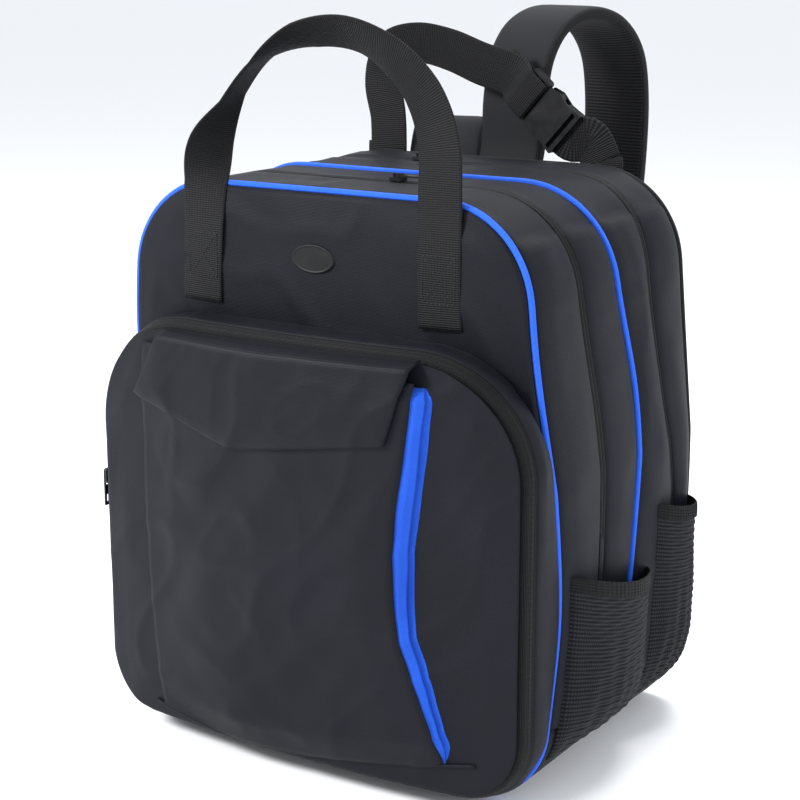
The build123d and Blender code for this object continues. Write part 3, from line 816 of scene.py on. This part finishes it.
def pocket_face(u, v):
    """Pocket front, edge to edge."""
    z0, z1 = POCKET_LOW + FACE_INSET, POCKET_TOP - FACE_INSET
    eased = 0.5 - 0.5 * cos(pi * v)
    z = z0 + (z1 - z0) * (0.6 * v + 0.4 * eased)
    hw = max(half_width(face_half, min(max(z, z0 + TINY), z1 - TINY)), 2 * MM)
    a = 2 * u - 1
    a = a * (1.3 - 0.3 * a * a)
    x = a * hw
    return Vector((x, face_y(x, z), z))


face = grid("pocket_face_cloth", pocket_face, 110, 104, 0.41, 0.35, M_SHELL, thick=-CLOTH)
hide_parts("pocket_face_lower", "pocket_face_upper")
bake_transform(face)


def pocket_wall_point(s, depth, out):
    """Point on the pocket's side wall; depth runs back from the face edge."""
    x, z, nx, nz = pocket_loop.frame(s)
    y = crown_y(x) + depth
    return Vector((x + nx * out, y, z + nz * out))


# Section of the zip band in mm, from the face's edge to the wall: outwards, and back from the face.
RIM_OUT = ((0.0, -8.4), (0.25, -6.2), (0.5, -3.0), (0.72, -1.9), (0.9, -1.6), (1.0, -0.4))
RIM_DEPTH = ((0.0, 1.9), (0.25, 2.2), (0.5, 4.4), (0.72, 8.2), (0.9, 11.4), (1.0, 13.2))
COIL_U = 0.72
COIL_STEP = 4.5 * MM


def rim(u, v):
    """Zip that joins the face to the pocket's wall: tape over the rounded edge, with the coil in it."""
    out, d = lerp(RIM_OUT, u) * MM, lerp(RIM_DEPTH, u) * MM
    s = POCKET_LOOP * v
    coil = 0.9 * MM * max(0.0, 1 - (abs(u - COIL_U) / 0.10) ** 2)
    out += coil * (0.72 + 0.28 * sin(s * 2 * pi / COIL_STEP))
    return pocket_wall_point(s, d, out)


rim_obj = grid("pocket_zip_band", rim, 18, 900, 0.0160, POCKET_LOOP, M_ZIP, thick=0.8 * MM)
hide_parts("pocket_zip_rim_lower", "pocket_zip_rim_upper")
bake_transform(rim_obj)


def pocket_wall(u, v):
    """Pocket's side wall from the zip back to the bag's front panel, with slack creases."""
    s = POCKET_LOOP * v
    x, z, nx, nz = pocket_loop.frame(s)
    y0 = crown_y(x) + 0.0130
    y1 = FRONT + sweep_back(x, FRONT, z) + 0.6 * MM
    y = y0 + (y1 - y0) * u
    width = y1 - y0
    swell = 2.5 * MM * 4 * u * (1 - u)
    crease = 1.6 * MM * min(1.0, min(u, 1 - u) * width / 0.010) * folds(x, y, z, 0.045, 0.2, 41.0)
    hem = 1.2 * MM * (1 - min(1.0, u * width / 0.003))
    draw = 5.0 * MM * u if abs(nx) > 0.7 else 4.0 * MM * u * u
    out = swell + crease - hem - draw
    return Vector((x + nx * out, y, max(z + nz * out, 0.001)))


wall = grid(
    "pocket_wall_cloth", pocket_wall, 14, 240, 0.045, POCKET_LOOP, M_SHELL, thick=1.4 * MM
)
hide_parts("pocket_gusset")
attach(wall, "bag_body")

# --- Patch pocket and flap on the front ---

patch_lo, patch_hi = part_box("patch_panel_lower")
patch_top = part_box("patch_panel_upper")[1][2]

# How far the patch's side edges stand right of the frame's patch, by height.
RIGHT_EDGE = (
    (0.03, 0.043), (0.051, 0.038), (0.10, 0.020), (0.154, 0.005), (0.22, 0.005), (0.282, 0.013),
    (0.345, 0.022),
)
LEFT_EDGE = ((0.02, 0.018), (0.06, 0.012), (0.17, 0.004), (0.30, 0.003), (0.345, 0.006))


def patch_right_x(z):
    """The patch's open side leans and bows, as the cloth pulls."""
    return patch_hi[0] + lerp(RIGHT_EDGE, z)


def patch_left_x(z):
    """The patch's sewn side."""
    return patch_lo[0] + lerp(LEFT_EDGE, z)


def seam_z(x):
    """Height of the seam above the pocket's lower band."""
    return 0.020 + 0.022 * max(0.0, (x + 0.03) / 0.17) ** 1.3 + 0.016 * max(0.0, (-0.05 - x) / 0.11) ** 2


def patch_lift(u):
    """Height of the patch over the pocket's face, sewn down on the left and free on the right."""
    k = min(1.0, u / 0.30)
    return 0.0026 + 0.0072 * k * k * (3 - 2 * k)


def patch_surface(u, v):
    """Patch cloth over the pocket's face, its open side rolled in."""
    z = patch_lo[2] + (patch_top - patch_lo[2]) * v
    xa, xb = patch_left_x(z), patch_right_x(z)
    x = xa + (xb - xa) * u
    z = seam_z(x) + (patch_top - seam_z(x)) * v
    lift = patch_lift(u) * min(1.0, 0.25 + v / 0.10)
    edge = min(u * 0.25, (1 - u) * 0.25, v * 0.3)
    lift += 1.5 * MM * min(1.0, edge / 0.03) * folds(x, 0.0, z, 0.085, 0.9, 51.0)
    roll = 2.2 * MM * (1 - min(1.0, (1 - u) * 0.25 / 0.004)) ** 2
    return Vector((x, face_y(x, z) - max(lift, 0.0022) + roll * 0.6, z))


patch = grid("patch_cloth", patch_surface, 64, 84, 0.25, 0.32, M_SHELL, thick=-1.4 * MM)
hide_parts("patch_panel_lower", "patch_panel_upper")
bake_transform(patch)


# Section of the pleat: how far right of the patch's edge, and how far out from the face.
PLEAT = ((-0.004, 0.0078), (0.005, 0.0070), (0.0105, 0.0040), (0.0060, 0.0018), (0.0145, 0.0002))


def bellows(u, v):
    """Blue pleat behind the patch's open side: out, in and down to the pocket's face."""
    low = seam_z(patch_hi[0] + 0.04)
    z = low + (patch_top - 0.004 - low) * v
    xb = patch_right_x(z)
    ends = min(1.0, v / 0.06, (1 - v) / 0.04 + 0.3)
    t = u * (len(PLEAT) - 1)
    i = min(int(t), len(PLEAT) - 2)
    t -= i
    (x0, lift0), (x1, lift1) = PLEAT[i], PLEAT[i + 1]
    dx, lift = x0 + (x1 - x0) * t, lift0 + (lift1 - lift0) * t
    wob = 0.0007 * sin(z * 45 + 3) + 0.0008 * noise.noise(Vector((z * 22, u * 2, 3.0)))
    x = xb + (dx + wob) * (0.4 + 0.6 * ends)
    return Vector((x, face_y(x, z) - lift * ends - 0.0014, z))


pleat = grid("patch_pleat", bellows, 24, 90, 0.03, 0.31, M_BLUE, thick=0.7 * MM)
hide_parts("patch_bellows_lower", "patch_bellows_upper")
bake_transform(pleat)

flap_low_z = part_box("patch_flap")[0][2]
FLAP_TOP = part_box("patch_flap")[1][2] + 3 * MM
FLAP_TOP_ENDS = (-0.118, FLAP_TOP), (0.119, FLAP_TOP + 2 * MM)
FLAP_LEFT, FLAP_CORNER, FLAP_RIGHT = (
    (-0.146, flap_low_z + 0.033), (-0.046, flap_low_z + 0.001), (0.097, flap_low_z + 0.024)
)
CORNER_U = 0.41


def between(a, b, t):
    """Point on the line from a to b."""
    return a[0] + (b[0] - a[0]) * t, a[1] + (b[1] - a[1]) * t


def flap_outline(u, v):
    """Front view of the flap: straight top, lower edge with one low corner."""
    if u < CORNER_U:
        lx, lz = between(FLAP_LEFT, FLAP_CORNER, u / CORNER_U)
    else:
        lx, lz = between(FLAP_CORNER, FLAP_RIGHT, (u - CORNER_U) / (1 - CORNER_U))
    lz += 0.0022 * max(0.0, 1 - abs(u - CORNER_U) / 0.06)
    return between((lx, lz), between(*FLAP_TOP_ENDS, u), v)


def flap_surface(u, v):
    """Flap cloth standing off the patch, its top drawn in to the seam."""
    x, z = flap_outline(u, v)
    edge = min(u * 0.24, (1 - u) * 0.22, v * 0.075)
    lift = 0.0128 + 0.9 * MM * min(1.0, edge / 0.006)
    lift += 1.3 * MM * min(1.0, edge / 0.02) * folds(x, 0.0, z, 0.060, -0.5, 61.0)
    if v > 0.93:
        lift -= (v - 0.93) / 0.07 * 0.0115
    return Vector((x, face_y(x, z) - lift, z))


flap = grid("flap_cloth", flap_surface, 72, 34, 0.24, 0.08, M_SHELL, thick=-2.0 * MM)
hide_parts("patch_flap")
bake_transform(flap)


def sewn_on(surface, u, v):
    """Place of a stitch, a thread's width off the surface."""
    return surface(u, v) + Vector((0, -0.4 * MM, 0))


flap_rows = []
for inset in (0.012, 0.040):
    run = [sewn_on(flap_surface, 0.004 + inset * 0.9, v / 40) for v in range(37, 2, -1)]
    for i in range(81):
        run.append(sewn_on(flap_surface, 0.01 + inset + (0.98 - 2 * inset) * i / 80, inset * 1.3 + 0.012))
    run += [sewn_on(flap_surface, 0.996 - inset * 0.9, v / 40) for v in range(3, 38)]
    flap_rows.append(run)
flap_thread = stitches("flap_stitching", flap_rows)
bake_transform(flap_thread)

patch_rows = []
for u, reach in ((0.992, 0.72), (0.970, 0.72), (0.010, 0.90), (0.032, 0.90)):
    patch_rows.append([sewn_on(patch_surface, u, 0.02 + reach * i / 70) for i in range(71)])
seam = stitches("patch_stitching", patch_rows)
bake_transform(seam)


SEAM_LEFT, SEAM_LENGTH = -0.143, 0.310
seam_path = []
for i in range(81):
    x = SEAM_LEFT + SEAM_LENGTH * i / 80
    z = seam_z(x)
    seam_path.append(Vector((x, face_y(x, z) - 2.6 * MM, z)))
hem = tube("pocket_low_seam", seam_path, 1.3 * MM, M_SHELL, count=8)
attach(hem, "bag_body")

# --- Mesh side pockets ---

NET_FOOT_Z = 0.034
NET_FILL = 0.86  # share of the frame pocket's width that the net swells to


def side_pocket(name, sign, top_front, top_back):
    """Bowed mesh pocket gathered at its foot, with an elastic band along its slanting top."""
    lo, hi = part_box(name + "_pocket")
    y0, y1 = lo[1], hi[1]
    bulge = (hi[0] - lo[0]) * NET_FILL
    low_z, band = NET_FOOT_Z, 0.013

    def top_at(u):
        """Height of the pocket's mouth, from its front (u = 0) to its back."""
        return top_front + (top_back - top_front) * u - 0.005 * sin(pi * u)

    def shape(u, z, extra):
        """Point on the swollen net, pushed out by extra away from its side seams."""
        y = y0 + (y1 - y0) * u
        t = (z - low_z) / max(top_at(u) - low_z, 1e-4)
        t = min(max(t, 0.0), 1.0)
        bow = (4 * u * (1 - u)) ** 0.62
        swell = bulge * bow * (0.10 + 0.90 * (1 - (1 - min(t / 0.35, 1.0)) ** 2))
        swell *= 1 - 0.16 * t * t
        x = body_loop.at(body_loop.rise_to(z))[0]
        base = x + 0.8 * MM
        gather = 1.2 * MM * (1 - t) ** 2 * sin(u * 46) * bow
        sag = 1.6 * MM * bow * noise.noise(Vector((u * 6, z * 28, sign * 3.0)))
        out = base + swell + gather + sag + extra * min(1.0, 8 * u * (1 - u))
        return Vector((sign * out, y + sweep_back(x, y, z), z))

    def net(u, v):
        """Net with its fine ribs, from its foot to the band."""
        z = low_z + (top_at(u) - band * 0.9 - low_z) * v
        ribs = 0.45 * MM * sin(2 * pi * z / 0.0066)
        return shape(u, z, ribs)

    height = top_front - low_z
    net_obj = grid(name + "_net", net, 56, 110, y1 - y0, height, M_MESH, thick=1.1 * MM)
    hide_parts(name + "_pocket")
    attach(net_obj, "bag_body")

    def elastic(u, v):
        """Elastic band round the mouth, v running round its section."""
        a = 2 * pi * v
        z = top_at(u) - band / 2 + band / 2 * signed_power(sin(a), 0.5)
        out = 0.8 * MM + 1.0 * MM * signed_power(cos(a), 0.6)
        return shape(u, z, out + 0.3 * MM * sin(u * 150))

    el = grid(name + "_band", elastic, 90, 20, y1 - y0, 0.03, M_ELASTIC)
    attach(el, "bag_body")
    return el


for use, top_front, top_back in (("_bottle", 0.182, 0.152), ("_rope", 0.204, 0.192)):
    for side, sign in (("left", -1), ("right", 1)):
        side_pocket(side + use, sign, top_front, top_back)
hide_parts("pocket_elastics")

# --- Handles ---

WEB_WIDTH, WEB_THICK = 0.038, 2.6 * MM
leg_lo, leg_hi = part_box("front_handle_legs")
HY = (leg_lo[1] + leg_hi[1]) / 2
LX, RX = leg_lo[0] + WEB_WIDTH / 2, leg_hi[0] - WEB_WIDTH / 2


def handle_web(name, path, sides, steps=8):
    """Wide webbing through the points, its width turning smoothly through the given directions."""
    turned = []
    for a, b in zip(sides, sides[1:]):
        turned += [Vector(a).lerp(Vector(b), k / steps).normalized() for k in range(steps)]
    turned.append(Vector(sides[-1]).normalized())
    return ribbon(name, catmull(path, steps), turned, WEB_WIDTH, WEB_THICK, M_WEB)


LAID = 5.8 * MM  # how far the sewn legs lie in front of their frame node, on the crowned panel
front_path = [
    (LX - 0.003, HY - LAID, leg_lo[2] - 0.003), (LX - 0.002, HY - LAID, 0.400), (LX, HY - LAID, 0.436),
    (LX + 0.001, HY - 0.0035, 0.468), (LX + 0.008, HY - 0.003, 0.503), (-0.082, HY - 0.004, 0.536),
    (-0.052, HY - 0.005, 0.567), (-0.012, HY - 0.004, 0.586), (0.030, HY - 0.002, 0.588),
    (0.068, HY - 0.002, 0.571), (0.094, HY - 0.002, 0.545), (0.107, HY - 0.002, 0.510),
    (RX, HY - 0.0035, 0.468), (RX + 0.001, HY - LAID, 0.436), (RX + 0.001, HY - LAID, 0.400),
    (RX + 0.002, HY - LAID, leg_lo[2] - 0.003),
]
front_sides = [
    (1, 0, 0), (1, 0, 0), (1, 0.04, 0), (1, 0.22, 0), (0.55, 0.85, 0), (-0.10, 0.98, 0.1),
    (-0.25, 0.95, 0.0), (-0.10, 0.84, -0.5), (-0.05, 0.68, -0.73), (-0.5, 0.42, -0.75),
    (-0.9, 0.20, -0.35), (-1, 0.06, -0.1), (-1, 0, 0), (-1, 0, 0), (-1, 0, 0), (-1, 0, 0),
]
front_handle = handle_web("front_handle_webbing", front_path, front_sides)
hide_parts("front_handle", "front_handle_legs")
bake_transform(front_handle)

rear_lo, rear_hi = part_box("rear_handle_legs")
RY = (rear_lo[1] + rear_hi[1]) / 2
REAR_LEGS = (("left", rear_lo[0] + WEB_WIDTH / 2), ("right", rear_hi[0] - WEB_WIDTH / 2))
REAR_LEG = 0.0725
for tag, x in REAR_LEGS:
    pts = [Vector((x, RY, rear_lo[2] + (REAR_LEG * i / 12))) for i in range(13)]
    leg = ribbon("rear_leg_" + tag, pts, [Vector((1, 0, 0))] * 13, WEB_WIDTH, WEB_THICK, M_WEB)
    if tag == "left":
        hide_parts("rear_handle_legs")
    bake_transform(leg)

# The buckle's own directions, its middle, and the bar that the long webbing turns round.
tilt = radians(42)
B_ALONG = Vector((cos(tilt), 0, -sin(tilt)))
B_CROSS = Vector((sin(tilt), 0, cos(tilt)))
socket_x, _, socket_z = centre("buckle_socket")
buckle_mid = Vector((socket_x, RY, socket_z)) - B_ALONG * 0.011
web_end = buckle_mid - B_ALONG * 0.024
rear_path = [
    (-0.1090, RY, 0.468), (-0.1100, RY, 0.500), (-0.1150, RY, 0.532), (-0.1050, RY + 0.001, 0.559),
    (-0.0780, RY + 0.002, 0.567), (-0.0450, RY + 0.001, 0.562), (-0.0120, RY, 0.551),
    web_end - B_ALONG * 0.021 + Vector((0, -0.0008, 0)),
    web_end - B_ALONG * 0.005 + Vector((0, -0.0066, 0)),
    web_end + B_ALONG * 0.0135 + Vector((0, -0.0072, 0)),
]
rear_sides = [
    (1, 0, 0), (1, 0, 0), (1, 0.10, -0.10), (0.75, 0.30, -0.70), (0.1, 0.28, -1.0),
    (-0.1, 0.12, -1.0), (-0.35, 0.04, -1.0), -B_CROSS, -B_CROSS, -B_CROSS,
]
rear_web = handle_web("rear_handle_band", rear_path, rear_sides)
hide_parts("rear_handle_webbing_left")
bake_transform(rear_web)

# The webbing's turn round the bar, then its doubled end lying back along it.
TURN = ((0, -1.5), (0, -0.8), (0, 0), (0, 0.8), (0, 1.5), (1, 1.57), (2, 1.57), (3, 1.57))
turn_path = [
    web_end + Vector((0, 0.0020 * sin(a), 0)) + B_ALONG * (0.006 * cos(a) - 0.012 * k) for k, a in TURN
]
turn = ribbon(
    "rear_handle_turn", turn_path, [-B_CROSS] * len(TURN), WEB_WIDTH - 1 * MM, 1.6 * MM, M_WEB
)
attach(turn, "buckle_plug")

short_path = [
    buckle_mid + B_ALONG * 0.015, buckle_mid + B_ALONG * 0.034, (0.097, RY, 0.490), (0.1085, RY, 0.470)
]
short = handle_web("rear_handle_short", short_path, [B_CROSS, B_CROSS, (0.85, 0, 0.5), (1, 0, 0.05)])
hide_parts("rear_handle_webbing_right")
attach(short, "rear_handle")


def box_stitch(cx, y, z0, z1, w=0.028):
    """Square of stitches with a cross in it."""
    x0, x1 = cx - w / 2, cx + w / 2
    corners = [(x0, y, z0), (x1, y, z0), (x1, y, z1), (x0, y, z1), (x0, y, z0)]
    return [corners, [(x0, y, z0), (x1, y, z1)], [(x1, y, z0), (x0, y, z1)]]


front_runs = []
for x in (LX - 1 * MM, RX + 1 * MM):
    front_runs += box_stitch(x, HY - LAID - 1.5 * MM, 0.392, 0.428)
front_thread = stitches("front_handle_stitching", front_runs)
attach(front_thread, "lid")
rear_runs = []
for _, x in REAR_LEGS:
    rear_runs += box_stitch(x, RY + 1.5 * MM, 0.412, 0.446)
rear_thread = stitches("rear_handle_stitching", rear_runs)
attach(rear_thread, "bag_body")

# --- Shoulder straps, the right one (1) and the left one (-1) ---

PAD_WIDTH, PAD_THICK, PAD_COUNT = 0.066, 0.0125, 44
STRAP_WEB, STRAP_WEB_OFF = 0.025, 7.2 * MM
ROOT_Y = 0.149
ANCHOR_X, ANCHOR_Z = 0.168, 0.078

# Lean outwards and turn of each strap, where it leaves the yoke, and its run as (out, height).
LEANS = {1: radians(19), -1: radians(-10)}
TURNS = {1: radians(10), -1: radians(-10)}
ROOTS = {1: 0.010, -1: -0.058}
ROUTES = {
    1: ((-0.006, 0.452), (0.001, 0.480), (0.003, 0.520), (0.010, 0.556), (0.030, 0.583), (0.064, 0.594),
        (0.098, 0.584), (0.121, 0.557), (0.129, 0.515), (0.128, 0.460), (0.122, 0.415), (0.104, 0.363)),
    -1: ((-0.006, 0.452), (0.001, 0.476), (0.012, 0.492), (0.032, 0.492), (0.052, 0.474), (0.062, 0.440),
         (0.069, 0.390), (0.072, 0.330), (0.067, 0.260), (0.057, 0.200), (0.044, 0.151)),
}


def soften(q):
    """Foam gives: a slow ripple along the strap."""
    return q + Vector((0, 0, 0.7 * MM * noise.noise(q * 24)))


for sign, tag in ((1, "right"), (-1, "left")):
    run = Vector((sin(LEANS[sign]), cos(LEANS[sign]), 0))
    wide = Vector((cos(TURNS[sign]), -sin(TURNS[sign]), 0))
    root = Vector((ROOTS[sign], ROOT_Y, 0))
    path = catmull([root + run * s + Vector((0, 0, z)) for s, z in ROUTES[sign]], 7)
    n = len(path)

    pad_obj = ribbon(
        tag + "_strap_padding", path, [wide] * n, PAD_WIDTH, PAD_THICK, [M_PAD, M_AIR],
        square=0.30, count=PAD_COUNT, ends=0.5, warp=soften,
    )
    # Cloth on the outer half of the section, spacer mesh on the half that meets the shoulder.
    for poly in pad_obj.data.polygons:
        if poly.index < (n - 1) * PAD_COUNT:
            poly.material_index = 0 if poly.index % PAD_COUNT >= PAD_COUNT // 2 else 1
    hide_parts(tag + "_strap_pad")
    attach(pad_obj, tag + "_strap")
    for k, side in ((1, "a"), (-1, "b")):
        edge = [p + wide * k * 0.0322 for p in path]
        cord = ribbon(
            tag + "_strap_edge_" + side, edge, [wide] * n, 0.0052, 0.0088, M_BIND,
            square=0.8, count=12,
        )
        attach(cord, tag + "_strap")
    sewn_run = []
    for i in range(int(n * (0.62 if sign > 0 else 0.30)), int(n * 0.93)):
        along = (path[i + 1] - path[i - 1]).normalized()
        sewn_run.append(path[i] - along.cross(wide).normalized() * sign * STRAP_WEB_OFF)
    web = ribbon(
        tag + "_strap_webbing", sewn_run, [wide] * len(sewn_run), STRAP_WEB, 1.8 * MM, M_WEB,
        count=20,
    )
    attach(web, tag + "_strap")

    foot = Vector((sign * ANCHOR_X, 0.134 if sign > 0 else 0.136, ANCHOR_Z))
    lock_mid = Vector(centre(tag + "_ladder_lock"))
    down = (path[-1] - path[-3]).normalized()
    short_run = catmull([path[-2], path[-1] + down * 0.004, lock_mid - down * 0.006], 5)
    loop = ribbon(
        tag + "_lock_loop", short_run, [wide] * len(short_run), STRAP_WEB - 1 * MM, 3.0 * MM, M_WEB,
        count=16,
    )
    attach(loop, tag + "_strap")
    head = lock_mid + down * 0.006
    sag = Vector((0, 0.003, -0.010 if sign > 0 else -0.016))
    middle = head.lerp(foot, 0.5) + sag
    sewn = foot + (foot - middle).normalized() * 0.003 + Vector((0, 0.001, 0))
    tail_pts = catmull([head, head.lerp(foot, 0.14) + down * 0.006, middle, foot, sewn], 10)
    across = Vector((0, 1, 0)).cross(head - foot).normalized()
    if across.dot(wide) < 0:
        across = -across
    turned = len(tail_pts) * 0.45
    tail_sides = [wide.lerp(across, min(1.0, i / turned)).normalized() for i in range(len(tail_pts))]
    tail = ribbon(
        tag + "_tail_webbing", tail_pts, tail_sides, STRAP_WEB, 1.9 * MM, M_WEB, count=20
    )
    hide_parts(tag + "_strap_tail")
    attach(tail, tag + "_strap_tail")

yoke_lo, yoke_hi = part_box("strap_yoke")


def yoke_surface(u, v):
    """Padded yoke across the top of the back, puffed between its stitched edges."""
    x = yoke_lo[0] + (yoke_hi[0] - yoke_lo[0]) * u
    z = yoke_lo[2] + (yoke_hi[2] - yoke_lo[2]) * v
    a, b = abs(2 * u - 1), abs(2 * v - 1)
    puff = (1 - a**6) * (1 - b**4)
    root = 0.0
    for s in (-1, 1):
        root = max(root, 1 - min(1.0, abs(x - ROOTS[s]) / 0.034) ** 4)
    rise = v * v * (3 - 2 * v)
    y = BACK + 0.8 * MM + 3.2 * MM * puff + 0.0135 * root * rise * puff ** 0.4
    return Vector((x, y, z))


yoke = grid("strap_yoke_pad", yoke_surface, 80, 30, 0.16, 0.044, M_PAD, thick=-1.5 * MM)
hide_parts("strap_yoke")
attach(yoke, "bag_body")

anchor_lo, anchor_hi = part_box("strap_anchors")
for sign, tag in ((1, "right"), (-1, "left")):

    def anchor(u, v, sign=sign):
        """Sewn tab that holds the strap's tail."""
        top_w, low_w = 0.036, 0.016
        z = anchor_lo[2] + (anchor_hi[2] - anchor_lo[2]) * v
        cx = ANCHOR_X + 0.015 * (1 - v)
        w = low_w + (top_w - low_w) * v
        x = sign * (cx + (u - 0.5) * w)
        e = min(u, 1 - u, v * 1.2, (1 - v) * 1.2)
        return Vector((x, BACK + 0.5 * MM + 2.4 * MM * min(1.0, e / 0.12), z))

    tab = grid(tag + "_anchor_tab", anchor, 16, 18, 0.03, 0.038, M_WEB, thick=-1 * MM)
    if sign > 0:
        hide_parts("strap_anchors")
    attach(tab, "bag_body")

# --- Badge, buckle and zip hardware ---

badge_lo, badge_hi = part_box("badge")
bx, _, bz = centre("badge")
ax, az = (badge_hi[0] - badge_lo[0]) / 2, (badge_hi[2] - badge_lo[2]) / 2


def badge_face(u, v):
    """Blank domed rubber oval with a raised rim."""
    a = 2 * pi * u
    r = 1 - v
    profile = 0.6 + 1.7 * (1 - max(0.0, (r - 0.93) / 0.07) ** 2)
    rim_h = 0.9 * MM * max(0.0, 1 - abs(r - 0.88) / 0.07)
    y = badge_hi[1] - 3.6 * MM - profile * MM - rim_h - 0.5 * MM * (1 - r * r)
    return Vector((bx + cos(a) * ax * r, y, bz + sin(a) * az * r))


badge = grid("badge_oval", badge_face, 72, 20, 0.1, 0.02, M_RUBBER)
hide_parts("badge")
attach(badge, "lid")

EDGE_WIDTHS = (
    (M_BUCKLE, 0.9, ("buckle_socket", "buckle_plug")),
    (M_BUCKLE, 0.7, ("right_ladder_lock", "left_ladder_lock")),
    (M_BUCKLE, 0.5, ("buckle_prong_upper", "buckle_prong_lower")),
    (M_METAL, 0.5, ("main_zip_slider", "rear_zip_slider", "pocket_zip_slider")),
    (M_METAL, 0.35, ("main_zip_pull", "rear_zip_pull", "pocket_zip_pull")),
)
for mat, width, node_names in EDGE_WIDTHS:
    for node_name in node_names:
        m = recolour(node_name, mat).modifiers.new("soft_edge", "BEVEL")
        m.width = width * MM
        m.segments = 3
        m.limit_method = "ANGLE"
        m.angle_limit = radians(35)

# --- Floor, light and camera ---

floor_mat = shader("studio_floor", (0.93, 0.93, 0.94), 0.7)[0]
floor_mesh = bpy.data.meshes.new("floor")
FAR = 60.0
floor_mesh.from_pydata([(-FAR, -FAR, 0), (FAR, -FAR, 0), (FAR, FAR, 0), (-FAR, FAR, 0)], [], [(0, 1, 2, 3)])
floor = bpy.data.objects.new("floor", floor_mesh)
bpy.context.scene.collection.objects.link(floor)
floor_mesh.materials.append(floor_mat)

world = bpy.data.worlds.new("studio")
bpy.context.scene.world = world
world.use_nodes = True
world.node_tree.nodes["Background"].inputs["Color"].default_value = (0.93, 0.96, 1.0, 1)
world.node_tree.nodes["Background"].inputs["Strength"].default_value = 1.0


def area_light(name, place, target, size, power, tint=(1, 1, 1)):
    """Soft box aimed at a point."""
    data = bpy.data.lights.new(name, "AREA")
    data.shape = "DISK"
    data.size = size
    data.energy = power
    data.color = tint
    lamp = bpy.data.objects.new(name, data)
    lamp.location = place
    lamp.rotation_euler = (Vector(target) - Vector(place)).to_track_quat("-Z", "Y").to_euler()
    bpy.context.scene.collection.objects.link(lamp)


area_light("key", (-1.5, -1.9, 1.9), (0, -0.05, 0.25), 0.8, 110)
area_light("fill", (2.2, -0.6, 1.2), (0, 0, 0.25), 1.2, 22, (0.94, 0.97, 1.0))
area_light("top", (0.2, 0.7, 2.3), (0, 0, 0.3), 1.0, 36)

bpy.context.scene.view_settings.view_transform = "Standard"
cam_data = bpy.data.cameras.new("camera")
cam = bpy.data.objects.new("camera", cam_data)
bpy.context.scene.collection.objects.link(cam)
cam.location = (0.81265, -1.2835, 0.652)
cam.rotation_euler = (radians(90 - 13.948), 0, radians(32.754))
cam_data.lens = 82.36
cam_data.sensor_width = 36
cam_data.clip_start = 0.05
bpy.context.scene.camera = cam
